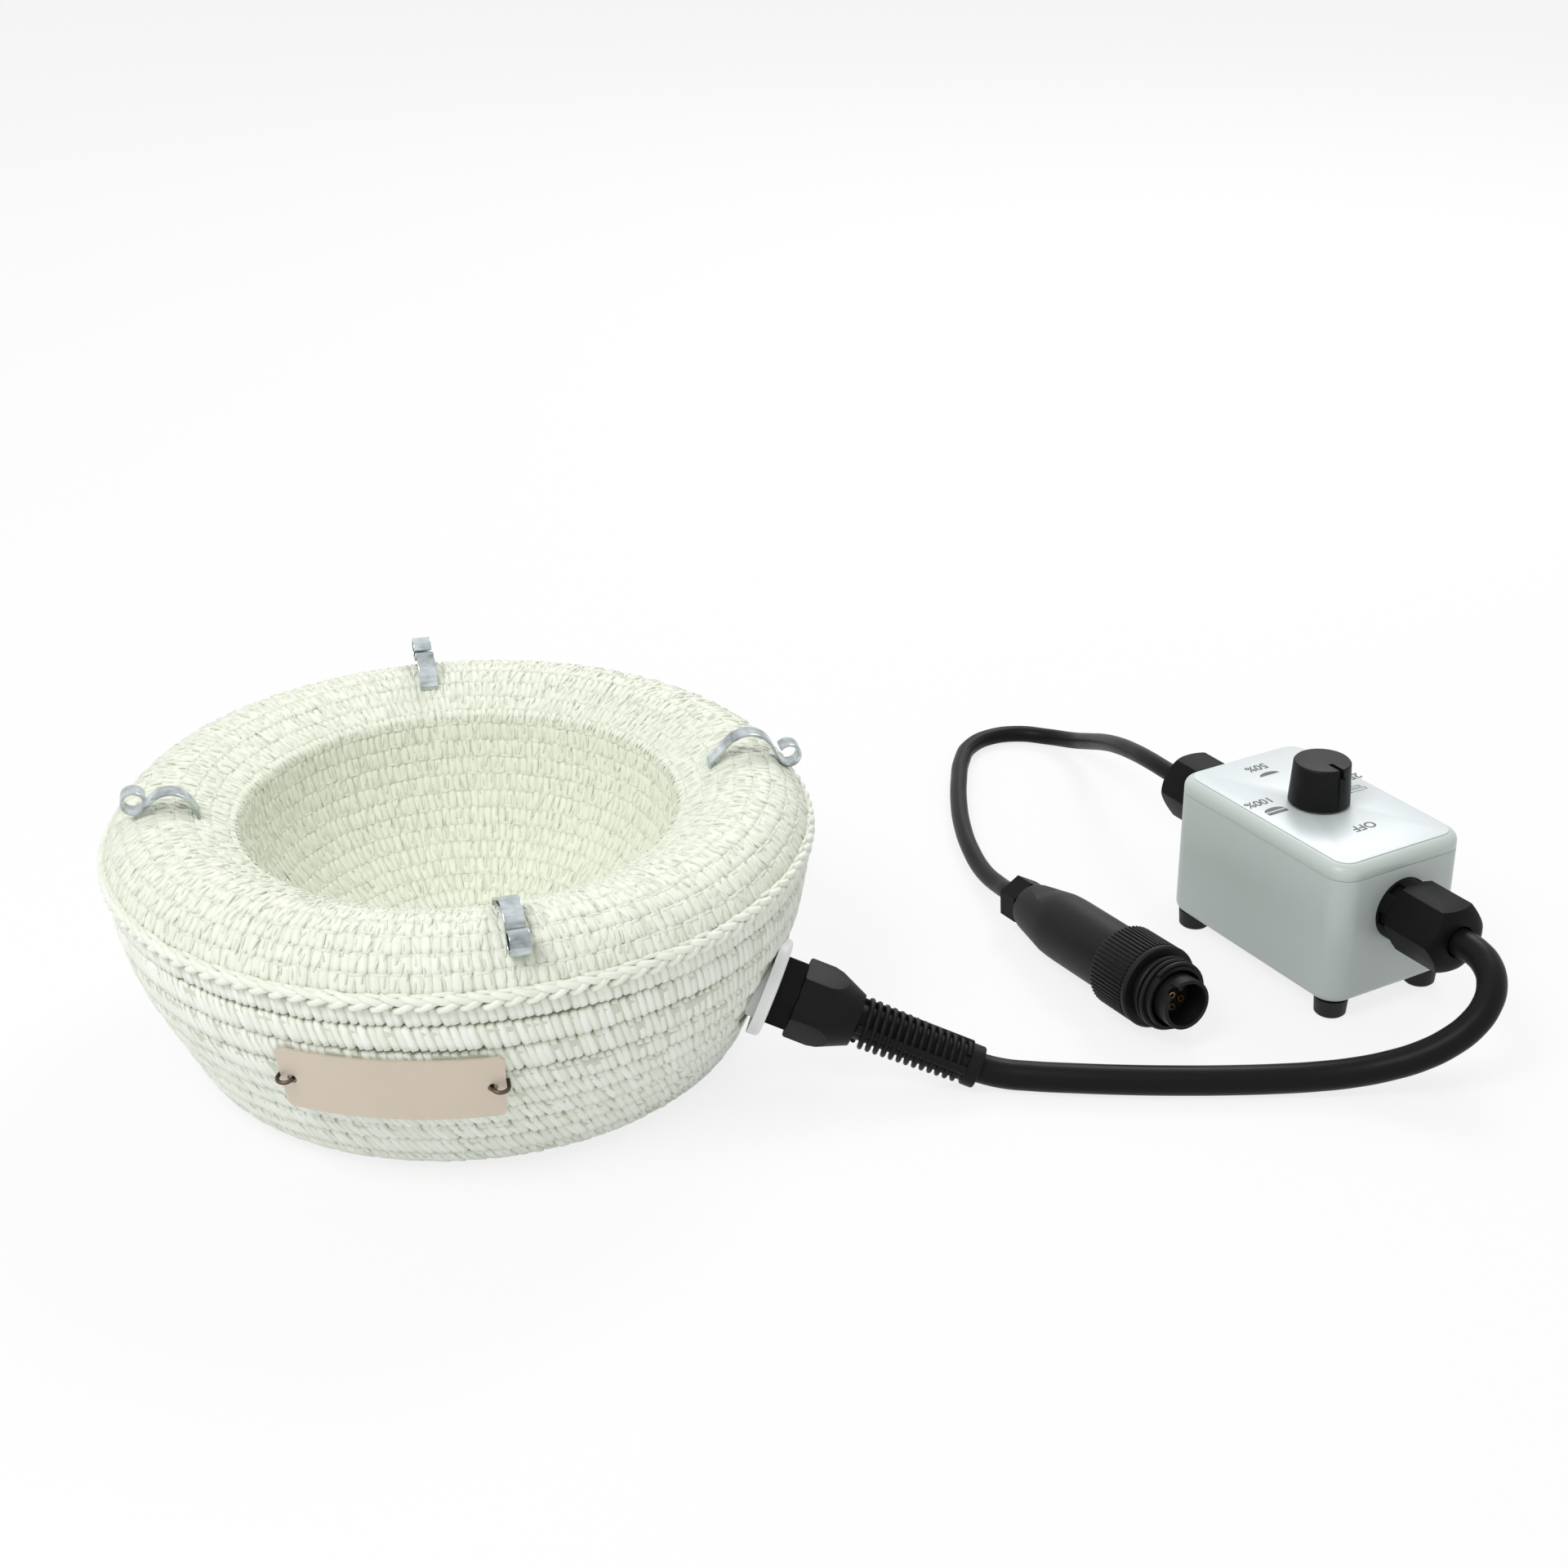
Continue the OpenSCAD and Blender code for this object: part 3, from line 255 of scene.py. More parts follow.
def prism(name, sides, radius_mm, low_mm, high_mm):
    """A prism along Z between two heights."""
    clear_selection()
    bpy.ops.mesh.primitive_cylinder_add(vertices=sides, radius=radius_mm * mm,
                                        depth=(high_mm - low_mm) * mm,
                                        location=(0, 0, (low_mm + high_mm) / 2 * mm))
    piece = bpy.context.object
    piece.name = name
    bpy.ops.object.transform_apply(location=True, rotation=True, scale=True)
    return piece


print("helpers for shaping are ready")


# %% [markdown]
# ## Shader maths as expressions
# Materials here are made of nodes. Writing each Math node by hand hides the idea, so a
# small class wraps a socket: adding or multiplying two of them adds the node for it. One
# method makes every other kind of node.

# %% Wires between nodes
class Wire:
    """A value in a material's nodes that takes part in Python expressions."""

    def __init__(self, tree, socket=None):
        self.tree, self.socket = tree, socket

    def node(self, kind, settings=None, inputs=None, output=0):
        """Adds a node: its settings first, then the values or wires of its sockets."""
        made = self.tree.nodes.new(kind)
        for key, value in (settings or {}).items():
            setattr(made, key, value)
        for key, value in (inputs or {}).items():
            if isinstance(value, Wire):
                self.tree.links.new(value.socket, made.inputs[key])
            else:
                made.inputs[key].default_value = value
        return Wire(self.tree, made.outputs[output])

    def math(self, operation, first, second, clamp=False):
        """Adds a Math node for two values or wires."""
        return self.node("ShaderNodeMath", {"operation": operation, "use_clamp": clamp},
                         {0: first, 1: second})

    def __add__(self, other):
        return self.math("ADD", self, other)

    def __radd__(self, other):
        return self.math("ADD", other, self)

    def __sub__(self, other):
        return self.math("SUBTRACT", self, other)

    def __rsub__(self, other):
        return self.math("SUBTRACT", other, self)

    def __mul__(self, other):
        return self.math("MULTIPLY", self, other)

    def clamped(self):
        """The value, kept between 0 and 1."""
        return self.math("ADD", self, 0.0, clamp=True)

    def mix(self, low, high):
        """A colour between two colours, by this value."""
        return self.node("ShaderNodeMix", {"data_type": "RGBA"}, {0: self, 6: low, 7: high}, 2)


print("wires are ready")


# %% Colours and the start of a material
def colour(red, green, blue):
    """A screen colour from 0 to 255 as the linear colour that nodes take."""
    return tuple(v / 12.92 if v <= 0.04045 else ((v + 0.055) / 1.055) ** 2.4
                 for v in (red / 255, green / 255, blue / 255)) + (1,)


def new_material(name):
    """A material with an empty Principled shader, and the wire to start expressions from."""
    material = bpy.data.materials.new(name)
    material.use_nodes = True
    tree = material.node_tree
    return material, Wire(tree), tree.nodes["Principled BSDF"]


def finish_shader(start, shader, inputs, constants, bump=None, strength=0.2, distance_mm=0.1):
    """Links what changes over the surface, and sets what doesn't on the shader's sockets."""
    for key, value in inputs.items():
        start.tree.links.new(value.socket, shader.inputs[key])
    for key, value in constants.items():
        shader.inputs[key].default_value = value
    if bump:
        relief = start.node("ShaderNodeBump", None, {"Strength": strength,
                            "Distance": distance_mm * mm, "Height": bump})
        start.tree.links.new(relief.socket, shader.inputs["Normal"])


def object_place(start):
    """The place on the object, in metres."""
    return start.node("ShaderNodeTexCoord", output="Object")


def noise(start, place, per_metre, detail=3, rough=0.55):
    """Soft noise with so many waves in a metre."""
    return start.node("ShaderNodeTexNoise", None, {"Vector": place, "Scale": per_metre,
                      "Detail": detail, "Roughness": rough})


print("white in linear light:", colour(255, 255, 255))


# %% [markdown]
# ## Glass yarn
# The mantle is crocheted from a loose bundle of glass filaments. Each strand shows fine
# lines along its length, a silky shine on its crown, and green-grey shade where strands
# dip under each other, because glass tints the light that passes through many layers.
# Here the shine is partly the shader's sheen and partly a painted highlight, a lighter
# colour on the crown, and the green-grey shade is painted shade. The stitches carry three
# things for this material: a UV map along the strand, how deep a point lies, which sets
# the painted light and shade, and a tone that differs from stitch to stitch.

# %% Yarn
def yarn(name, crown, shade, gap_shade, reach=3.2, fibres=0.75):
    """Yarn in three colours, with painted light and shade: its lit crown, its shaded side
    and, lowest down between the strands, a darker painted shade.

    reach says how soon that darker painted shade ends on the way up, and fibres how much
    the filaments differ from each other."""
    material, start, shader = new_material(name)
    fine_across, long_along = 30, 1.6
    along = start.node("ShaderNodeUVMap", {"uv_map": "strand"})
    depth = start.node("ShaderNodeAttribute", {"attribute_name": "depth"}, output="Fac")
    tone = start.node("ShaderNodeAttribute", {"attribute_name": "tone"}, output="Fac")
    stretched = start.node("ShaderNodeMapping", None,
                           {"Vector": along, "Scale": (fine_across, long_along, 1)})
    filaments = noise(start, stretched, 1.0, 2, 0.6)
    dirt = noise(start, object_place(start), 90, 3)
    # Painted light and shade: high points of the depth attribute get the lit crown colour, lower ones the
    # shade colour, and the deepest the darkest painted shade.
    lit = (depth * 1.5 - 0.12 + (filaments - 0.5) * fibres + (dirt - 0.5) * 0.3).clamped()
    gap_shade_mask = (depth * reach).clamped()
    pale = (lit * (0.72 + tone * 0.28)).mix(shade, crown)
    base = gap_shade_mask.mix(gap_shade, pale)
    rough = 0.62 - filaments * 0.25
    finish_shader(start, shader, {"Base Color": base, "Roughness": rough},
                  {"Specular IOR Level": 0.45, "Sheen Weight": 0.15, "Sheen Roughness": 0.5},
                  bump=filaments, strength=0.55, distance_mm=0.35)
    return material


# The third colour of each yarn is its darkest painted shade, darkest on the cover, where it paints the
# grooves between rows.
insert_yarn = yarn("insert_yarn", colour(243, 246, 233), colour(218, 224, 203), colour(146, 158, 114))
cover_yarn = yarn("cover_yarn", colour(253, 255, 248), colour(206, 216, 188), colour(58, 70, 40),
                  reach=2.1, fibres=1.2)
braid_yarn = yarn("braid_yarn", colour(249, 252, 242), colour(220, 228, 203), colour(92, 104, 66))
print("yarn materials:", insert_yarn.name, cover_yarn.name, braid_yarn.name)


# %% [markdown]
# ## Plastics, rubber and metals
# Moulded nylon and rubber are never one flat colour: a fine grain breaks up the
# highlight, and faint clouds change the gloss. Metals show brushing or a thin zinc bloom.
# One function each makes the family, and the numbers make the member.

# %% Moulded plastic
def moulded(name, tint, gloss, grain_mm=0.35, grain=0.12, cloud=0.05, shine=0.5):
    """A moulded surface: grain in the relief, clouds in the colour and in the gloss."""
    material, start, shader = new_material(name)
    where = object_place(start)
    fine = noise(start, where, 1 / (grain_mm * mm), 2)
    clouds = noise(start, where, 55, 4, 0.6)
    darker = tuple(v * (1 - cloud * 2) for v in tint[:3]) + (1,)
    lighter = tuple(min(1, v * (1 + cloud)) for v in tint[:3]) + (1,)
    base = clouds.mix(darker, lighter)
    rough = (gloss - 0.06) + clouds * 0.12
    finish_shader(start, shader, {"Base Color": base, "Roughness": rough},
                  {"Specular IOR Level": shine}, bump=fine, strength=grain, distance_mm=0.08)
    return material


black_nylon = moulded("black_nylon", colour(17, 17, 17), 0.48, 0.4, 0.2, shine=0.08)
connector_black = moulded("connector_black", colour(20, 21, 21), 0.48, 0.25, 0.3, shine=0.18)
knob_black = moulded("knob_black", colour(17, 17, 17), 0.46, 0.25, 0.25, shine=0.14)
lead_rubber = moulded("lead_rubber", colour(17, 17, 17), 0.4, 0.6, 0.25, shine=0.12)
seal_rubber = moulded("seal_rubber", colour(30, 30, 30), 0.6, 0.4, 0.3)
foot_rubber = moulded("foot_rubber", colour(22, 22, 22), 0.55, 0.4, 0.4, shine=0.3)
white_nylon = moulded("white_nylon", colour(246, 248, 248), 0.38, 0.5, 0.15, 0.02)
box_grey = moulded("box_grey", colour(184, 193, 190), 0.34, 0.5, 0.06, 0.02)
lid_grey = moulded("lid_grey", colour(196, 205, 201), 0.32, 0.5, 0.06, 0.02)
label_white = moulded("label_white", colour(216, 223, 225), 0.36, 0.8, 0.03, 0.01)
print_black = moulded("print_black", colour(24, 24, 26), 0.35, 0.3, 0.05)
ceramic = moulded("ceramic", colour(238, 232, 218), 0.25, 1.2, 0.1, 0.03)
phenolic = moulded("switch_phenolic", colour(62, 46, 38), 0.3, 0.7, 0.15, 0.12)
print("moulded materials are ready")


# %% Metals
def metal(name, tint, gloss, brushing, per_metre, wear=0.25, contrast=1):
    """A metal; brushing stretches its streaks along X, Y and Z."""
    material, start, shader = new_material(name)
    where = object_place(start)
    streaks = noise(start, start.node("ShaderNodeMapping", None,
                    {"Vector": where, "Scale": brushing}), per_metre, 4, 0.6)
    bloom = noise(start, where, 180, 3)
    dull = tuple(v * (1 - wear) for v in tint[:3]) + (1,)
    base = ((streaks * 0.6 + bloom * 0.4 - 0.5) * contrast + 0.5).clamped().mix(dull, tint)
    rough = (gloss - 0.05) + streaks * 0.1 + bloom * 0.05
    finish_shader(start, shader, {"Base Color": base, "Roughness": rough},
                  {"Metallic": 1.0}, bump=streaks, strength=0.08, distance_mm=0.05)
    return material


zinc = metal("zinc_steel", colour(226, 236, 239), 0.14, (0.12, 0.12, 1), 300, 0.75, 3.0)
tie_wire = metal("tie_wire", colour(112, 98, 86), 0.35, (1, 1, 1), 1200, 0.5)
copper = metal("contact_metal", colour(214, 184, 120), 0.28, (1, 1, 1), 900)
plain_steel = metal("screw_steel", colour(186, 190, 194), 0.3, (1, 1, 1), 700)


def plate_finish():
    """Beige anodised metal, brushed level, with soft wear in its gloss."""
    material, start, shader = new_material("plate_metal")
    where = object_place(start)
    level = start.node("ShaderNodeMapping", None, {"Vector": where, "Scale": (60, 60, 5200)})
    streaks = noise(start, level, 1.0, 3, 0.65)
    clouds = noise(start, where, 45, 3)
    base = (streaks * 0.5 + clouds * 0.5).mix(colour(206, 192, 174), colour(222, 210, 194))
    finish_shader(start, shader, {"Base Color": base, "Roughness": 0.3 + streaks * 0.25},
                  {"Metallic": 0.35, "Specular IOR Level": 0.5},
                  bump=streaks, strength=0.12, distance_mm=0.03)
    return material


plate_metal = plate_finish()
print("metal materials are ready")


# %% Wool, sleeve and wire
def fibrous(name, pale, dark, per_metre, stretch, relief_mm):
    """Loose or woven fibre on a piece that the cover hides."""
    material, start, shader = new_material(name)
    where = start.node("ShaderNodeMapping", None, {"Vector": object_place(start), "Scale": stretch})
    fibres = noise(start, where, per_metre, 6, 0.7)
    base = (fibres * 1.6 - 0.3).clamped().mix(dark, pale)
    finish_shader(start, shader, {"Base Color": base, "Roughness": 0.75 + fibres * 0.2},
                  {"Specular IOR Level": 0.3}, bump=fibres, strength=0.6, distance_mm=relief_mm)
    return material


glass_wool = fibrous("glass_wool", colour(240, 228, 176), colour(206, 188, 120), 420, (1, 1, 0.3), 0.6)
heater_sleeve = fibrous("heater_sleeve", colour(230, 222, 196), colour(182, 170, 136), 1500, (1, 1, 1), 0.2)
wire_sleeve = fibrous("wire", colour(206, 178, 142), colour(160, 120, 84), 1300, (1, 1, 1), 0.1)
print("fibre materials are ready")


# %% [markdown]
# ## Materials for the CAD nodes that stay
# A CAD solid whose shape is right only needs its real finish. The table below names them.
# Those that a richer piece replaces later get one too, because the hidden solids stay in
# the scene.

# %% Finish the CAD nodes
cad_finish = (
    (insert_yarn, "heating_insert"), (cover_yarn, "outer_cover"), (braid_yarn, "seam_braid"),
    (glass_wool, "insulation"), (heater_sleeve, "heating_cord"),
    (wire_sleeve, "heater_leads box_wires"), (ceramic, "terminal_block box_terminals"),
    (zinc, "hook_left hook_front hook_right hook_rear"),
    (plate_metal, "name_plate"), (tie_wire, "plate_tie_left plate_tie_right"),
    (white_nylon, "gland_flange"),
    (black_nylon, "gland_body gland_locknut spiral_nut front_gland_body front_gland_locknut "
                  "front_gland_nut rear_gland_body rear_gland_locknut rear_gland_nut connector_nut"),
    (seal_rubber, "gland_seal box_gasket front_gland_seal rear_gland_seal connector_seal"),
    (lead_rubber, "power_lead signal_lead power_lead_tail power_lead_box_tail signal_lead_box_tail"),
    (box_grey, "box_base"), (lid_grey, "box_lid"), (label_white, "dial_label"),
    (foot_rubber, "box_feet"), (knob_black, "knob"), (phenolic, "switch_body"),
    (plain_steel, "box_screws switch_nut switch_shaft"),
    (connector_black, "connector_body coupling_ring connector_shroud connector_insert"),
    (copper, "connector_contacts"))
finished = [(nodes[name], material) for material, names in cad_finish for name in names.split()]
for node, material in finished:
    node.data.materials.clear()
    node.data.materials.append(material)
print("finished CAD nodes:", len(finished), "of", len(nodes))


def dress(piece, material, body, slot, *replaced):
    """Gives a piece its material and its body, and hides the CAD nodes it stands for; slot is not used."""
    piece.data.materials.clear()
    piece.data.materials.append(material)
    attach(piece, body)
    if replaced:
        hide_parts(*replaced)
    return piece


dress(power_lead, lead_rubber, "mantle", "lead_rubber", "power_lead")
dress(signal_lead, lead_rubber, "mantle", "lead_rubber", "signal_lead")


# %% [markdown]
# ## The mantle's profile
# Bowl, rim, belly, wall and bottom are one outline turned about the axis. Stitches lie
# on it like tiles on a roof, so the outline is measured along its length: a distance
# from the bowl's pole gives a radius, a height and the direction that points outwards.

# %% Profile
def arc_points(centre, radius, start_deg, end_deg, count):
    """Points on an arc, as radius and height."""
    angles = np.radians(np.linspace(start_deg, end_deg, count))
    return np.column_stack((centre[0] + radius * np.cos(angles), centre[1] + radius * np.sin(angles)))


bowl_centre, bowl_r, bowl_end, bowl_steps = (0, 80), 66.5, -3.4, 90
rim_centre, rim_r, rim_start, seam_angle = (88, 66), 19, 122, 10
belly_centre, belly_r = (29, 66), 78
lean = 24.5
fillet_centre, fillet_r = (76.92, 12), 12
corners = np.vstack([arc_points(bowl_centre, bowl_r, -90, bowl_end, bowl_steps),
                     arc_points(rim_centre, rim_r, rim_start, 0, 60),
                     arc_points(belly_centre, belly_r, -0.5, -lean, 40),
                     arc_points(fillet_centre, fillet_r, -lean, -90, 24), [(0.0, 0.0)]])
steps = np.hypot(*np.diff(corners, axis=0).T)
corner_s = np.concatenate(([0], np.cumsum(steps)))
table_step = 0.25
s_table = np.arange(0, corner_s[-1], table_step)
r_table = np.interp(s_table, corner_s, corners[:, 0])
z_table = np.interp(s_table, corner_s, corners[:, 1])
kernel = np.ones(9) / 9
slope_r = np.convolve(np.pad(np.gradient(r_table), 4, mode="edge"), kernel, "valid")
slope_z = np.convolve(np.pad(np.gradient(z_table), 4, mode="edge"), kernel, "valid")
length = np.hypot(slope_r, slope_z)
out_r_table, out_z_table = -slope_z / length, slope_r / length

rim_start_s = corner_s[bowl_steps]
seam_s = rim_start_s + math.radians(rim_start - seam_angle) * rim_r
bottom_s = corner_s[-2]
print("seam at", round(seam_s, 1), "mm, bottom edge at", round(bottom_s, 1), "mm")


def radius_at(s):
    """The profile's radius, in mm, at a distance along it."""
    return np.interp(s, s_table, r_table)


def off_profile(s, height):
    """Radius and height, in mm, at a distance along the profile and a height off it."""
    return (radius_at(s) + height * np.interp(s, s_table, out_r_table),
            np.interp(s, s_table, z_table) + height * np.interp(s, s_table, out_z_table))


def on_mantle(s, azimuth, height):
    """Points on the mantle, in metres: s along the profile, azimuth round it, height off it."""
    r, z = off_profile(s, height)
    return np.stack((r * np.cos(azimuth), r * np.sin(azimuth), z), axis=-1) * mm


# %% [markdown]
# ## One strand, copied many times
# A stitch is made of short legs of yarn that bulge in the middle and dive under their
# neighbours at both ends. One leg is modelled from a small sphere, stretched and bowed.
# Numbers then lay a copy of it for each leg of each stitch, bent to the mantle's round
# surface. Modelling every leg by hand would give the same mesh much more slowly.

# %% The strand
def model_strand(name, around, along):
    """A leg of yarn along X from 0 to 1, with its width in Y and its height in Z."""
    clear_selection()
    bpy.ops.mesh.primitive_uv_sphere_add(segments=around, ring_count=along, radius=0.5)
    strand = bpy.context.object
    strand.name = name
    bpy.ops.object.mode_set(mode="EDIT")
    bpy.ops.mesh.select_all(action="SELECT")
    bpy.ops.transform.rotate(value=math.radians(90), orient_axis="Y", center_override=(0, 0, 0))
    bpy.ops.transform.translate(value=(0.5, 0, 0))
    bpy.ops.object.mode_set(mode="OBJECT")
    mesh = strand.data
    points = np.array([v.co for v in mesh.vertices])
    fullness = np.clip(np.sin(np.pi * np.clip(points[:, 0], 0, 1)), 0, 1)
    plumpness = 0.38
    plump = np.maximum(fullness, 1e-6) ** -plumpness
    points[:, 1:] *= plump[:, None]
    faces = [tuple(p.vertices) for p in mesh.polygons]
    uvs = np.array([u.uv for u in mesh.uv_layers[0].data])
    bpy.data.objects.remove(strand)
    return points, faces, uvs


fine_strand = model_strand("fine_strand", 7, 7)
small_strand = model_strand("small_strand", 6, 5)
print("faces in a strand:", len(fine_strand[1]), len(small_strand[1]))


# %% One mesh for all the copies
def mesh_of_copies(name, places_m, faces):
    """A mesh of copies with the same faces; places_m holds the points of each copy."""
    count, per = places_m.shape[:2]
    one = np.concatenate([np.array(face) for face in faces])
    corner_points = (one[None, :] + per * np.arange(count)[:, None]).ravel()
    sizes = np.tile(np.array([len(face) for face in faces]), count)
    mesh = bpy.data.meshes.new(name)
    mesh.vertices.add(count * per)
    mesh.vertices.foreach_set("co", places_m.reshape(-1))
    mesh.loops.add(len(corner_points))
    mesh.loops.foreach_set("vertex_index", corner_points)
    mesh.polygons.add(len(sizes))
    mesh.polygons.foreach_set("loop_start", np.concatenate(([0], np.cumsum(sizes)[:-1])))
    mesh.polygons.foreach_set("loop_total", sizes)
    mesh.update(calc_edges=True)
    return mesh


def point_values(mesh, name, values, shape):
    """A number for each point of a mesh, spread over a shape first."""
    flat = np.broadcast_to(values, shape).reshape(-1).astype(np.float32)
    mesh.attributes.new(name, "FLOAT", "POINT").data.foreach_set("value", flat)


print("helpers for copies are ready")


# %% Laying copies of the strand
def lay_strands(name, strand, legs, top=None):
    """A piece with one strand per leg.

    Each leg has the columns s, azimuth (its middle), ds, da (from its start to its end, in mm
    down the profile and round it), width, thick, lift (all in mm), sink at its start and at
    its end, and tone. top(s, azimuth) caps how far the yarn stands off the profile."""
    points, faces, uvs = strand
    legs = np.asarray(legs, float)
    s, azimuth, ds, da, width, thick, lift, sink_a, sink_b, tone = legs.T[:, :, None]
    t, across, high = points.T[:, None, :]
    length = np.hypot(ds, da)
    bow = np.sin(np.pi * np.clip(t, 0, 1))
    height = lift * bow + high * thick - sink_a * (1 - t) ** 2 - sink_b * t ** 2
    down = (t - 0.5) * ds + across * width * da / length
    round_mm = (t - 0.5) * da - across * width * ds / length
    where_s = s + down
    smallest_r = 3
    where_a = azimuth + round_mm / np.maximum(radius_at(where_s), smallest_r)
    if top is not None:
        height = np.minimum(height, top(where_s, where_a))
    mesh = mesh_of_copies(name, on_mantle(where_s, where_a, height), faces)
    shape = (len(legs), len(points))
    shift = np.random.default_rng(len(legs)).random((len(legs), 1, 2)) * 7
    mesh.uv_layers.new(name="strand").data.foreach_set("uv", (uvs[None] + shift).reshape(-1))
    # Painted shade: depth is low on a strand's lower side and at its ends, where it dives under its
    # neighbours, so the yarn material paints those parts darker.
    ends = np.clip(1 - (2 * np.abs(t - 0.5)) ** 4, 0, 1)
    point_values(mesh, "depth", np.clip(0.5 + high * 1.1, 0, 1) * (0.25 + 0.75 * ends), shape)
    point_values(mesh, "tone", tone, shape)
    mesh.validate()
    mesh.polygons.foreach_set("use_smooth", np.ones(len(mesh.polygons), bool))
    print(name, "legs:", len(legs), "triangles:", len(legs) * sum(len(face) - 2 for face in faces))
    return add_object(name, mesh)


print("points in a strand:", len(fine_strand[0]), len(small_strand[0]))


# %% [markdown]
# ## Where the gland, the plate, the box and the plug sit
# The white flange is let into the cover, the plate leans on it, and hooks come out
# between the rim's stitches. The yarn keeps clear of the flange and the plate, so their
# places come first.

# %% Frames of the fittings
def turn(axis, degrees):
    """A rotation about an axis."""
    return Matrix.Rotation(math.radians(degrees), 4, axis)


def at_mm(x, y, z):
    """A shift, given in mm."""
    return Matrix.Translation((x * mm, y * mm, z * mm))


gland_frame = at_mm(96.1105, -31.6678, 28.9739) @ turn("Z", -9) @ turn("Y", 110)
box_l, box_w, box_h, lid_h, foot_h, lead_z = 82, 52, 49, 5, 6, 35.5
box_frame = at_mm(271.5, 39.7, 0) @ turn("Z", -59.5)
front_frame = box_frame @ at_mm(box_l / 2, 0, lead_z) @ turn("Y", 90)
rear_frame = box_frame @ at_mm(-box_l / 2, 0, lead_z) @ turn("Y", -90)
plug_frame = at_mm(177.9, 61.6, 9.35) @ turn("Z", -62) @ turn("Y", 85.7)

flange_reach, far_side = 14.8, -30
gland_point = np.array(gland_frame.translation) / mm
gland_axis = np.array(gland_frame.col[2][:3])


def off_flange(s, azimuth):
    """True where a stitch lies outside the flange's seat."""
    point = on_mantle(s, azimuth, 0) / mm - gland_point
    along = point @ gland_axis
    off_axis = np.linalg.norm(point - along[:, None] * gland_axis, axis=1)
    return (off_axis > flange_reach) | (along < far_side)


plate_az, plate_half_az, plate_z, plate_half_h = -95.5, 18.4, 40, 11.3
plate_rest_r, plate_rest_z, plate_slope = 105.47, 49.8, 0.2126


def cover_top(s, azimuth):
    """The yarn stays behind the flat plate, which rests on the belly near its top edge,
    and above the table. Elsewhere it is free."""
    free, near_table = 9.0, 6
    z = np.interp(s, s_table, z_table)
    room = plate_rest_r - (plate_rest_z - z) * plate_slope - radius_at(s)
    off_plate = np.degrees(np.angle(np.exp(1j * (azimuth - math.radians(plate_az)))))
    under_plate = (np.abs(off_plate) < plate_half_az) & (np.abs(z - plate_z) < plate_half_h) & (s > seam_s)
    return np.where(under_plate, room * 0.9 - 0.3, np.where(s > bottom_s - near_table, 0.0, free))


print("gland axis:", np.round(gland_axis, 3))


# %% [markdown]
# ## The outer cover
# The cover is worked round in rows, from the bottom to the seam. On the outside each row
# is a rope of slanting legs, two for a stitch, and a groove parts it from the next row.
# The groove's darkness is painted shade. Upper rows are taller. The rows have their
# measured places, and each leg leans and sits a little differently from the one beside it.

# %% Rows of the cover
rng = np.random.default_rng(11)
seam_mark = 79.7
groove_marks = np.array([79.3, 71.7, 62.7, 53.3, 44.3, 36, 28.6, 21.4, 14.2, 7, -0.5])
groove_s = seam_s + seam_mark - groove_marks
row_slants = (2.2, 2.8, 3.4, 4.0, 4.6, 5.0, 5.0, 5.0, 4.8, 4.6)
upper_rows, upper_stitches, lower_pitch = 5, 131, 5.1
full_round = 2 * math.pi
cover_legs = []
for row, (high_s, low_s, slant) in enumerate(zip(groove_s, groove_s[1:], row_slants)):
    tall, middle_s = low_s - high_s, (high_s + low_s) / 2
    middle_r = radius_at(middle_s)
    stitches = upper_stitches if row < upper_rows else int(round(full_round * middle_r / lower_pitch))
    offset = rng.random() * full_round
    wave = 0.55 * np.sin(np.arange(stitches) * full_round * 7 / stitches + offset)
    for k in range(stitches):
        for leg in (0, 1):
            azimuth = offset + (k + 0.27 + 0.5 * leg) * full_round / stitches
            leg_s = middle_s + wave[k] * 0.35 + rng.normal(0, 0.07)
            wide = math.pi * middle_r / stitches * rng.uniform(1.22, 1.4)
            cover_legs.append((leg_s, azimuth + rng.normal(0, 0.0022), tall * rng.uniform(1.0, 1.07),
                               slant * rng.uniform(0.85, 1.15) * (1.1 if leg else 0.9),
                               wide, rng.uniform(2.3, 2.8), rng.uniform(-0.85, -0.5),
                               2.5, rng.uniform(1.6, 1.9), rng.random()))
cover_legs = np.array(cover_legs)
cover_legs = cover_legs[off_flange(cover_legs[:, 0], cover_legs[:, 1])]
cover_stitches = lay_strands("cover_stitches", small_strand, cover_legs, cover_top)
dress(cover_stitches, cover_yarn, "mantle", "cover_yarn", "outer_cover")


# %% [markdown]
# ## The bottom of the cover
# The mantle stands on the last rows of the same rope, pressed flat by its weight. The
# rows run round and round to the middle, and none may reach below the table.

# %% Rows of the bottom
bottom_legs = []
bottom_row, bottom_stitch, middle_hole, fewest = 7.2, 5.4, 5, 6
row_s = bottom_s + 3.5
while row_s < corner_s[-1] - middle_hole:
    ring_r = corner_s[-1] - row_s
    stitches = max(fewest, int(round(full_round * ring_r / bottom_stitch)))
    offset = rng.random()
    for k in range(stitches):
        for leg in (0, 1):
            azimuth = offset + (k + 0.5 * leg) * full_round / stitches
            bottom_legs.append((row_s + rng.normal(0, 0.2), azimuth, 8.2, 3.0 * rng.uniform(0.8, 1.2),
                                2.9, 2.6, -1.2, 1.0, 0.8, rng.random()))
    row_s += bottom_row
bottom_stitches = lay_strands("bottom_stitches", small_strand, bottom_legs,
                              lambda s, azimuth: np.zeros_like(s))
dress(bottom_stitches, cover_yarn, "mantle", "cover_yarn", "outer_cover")


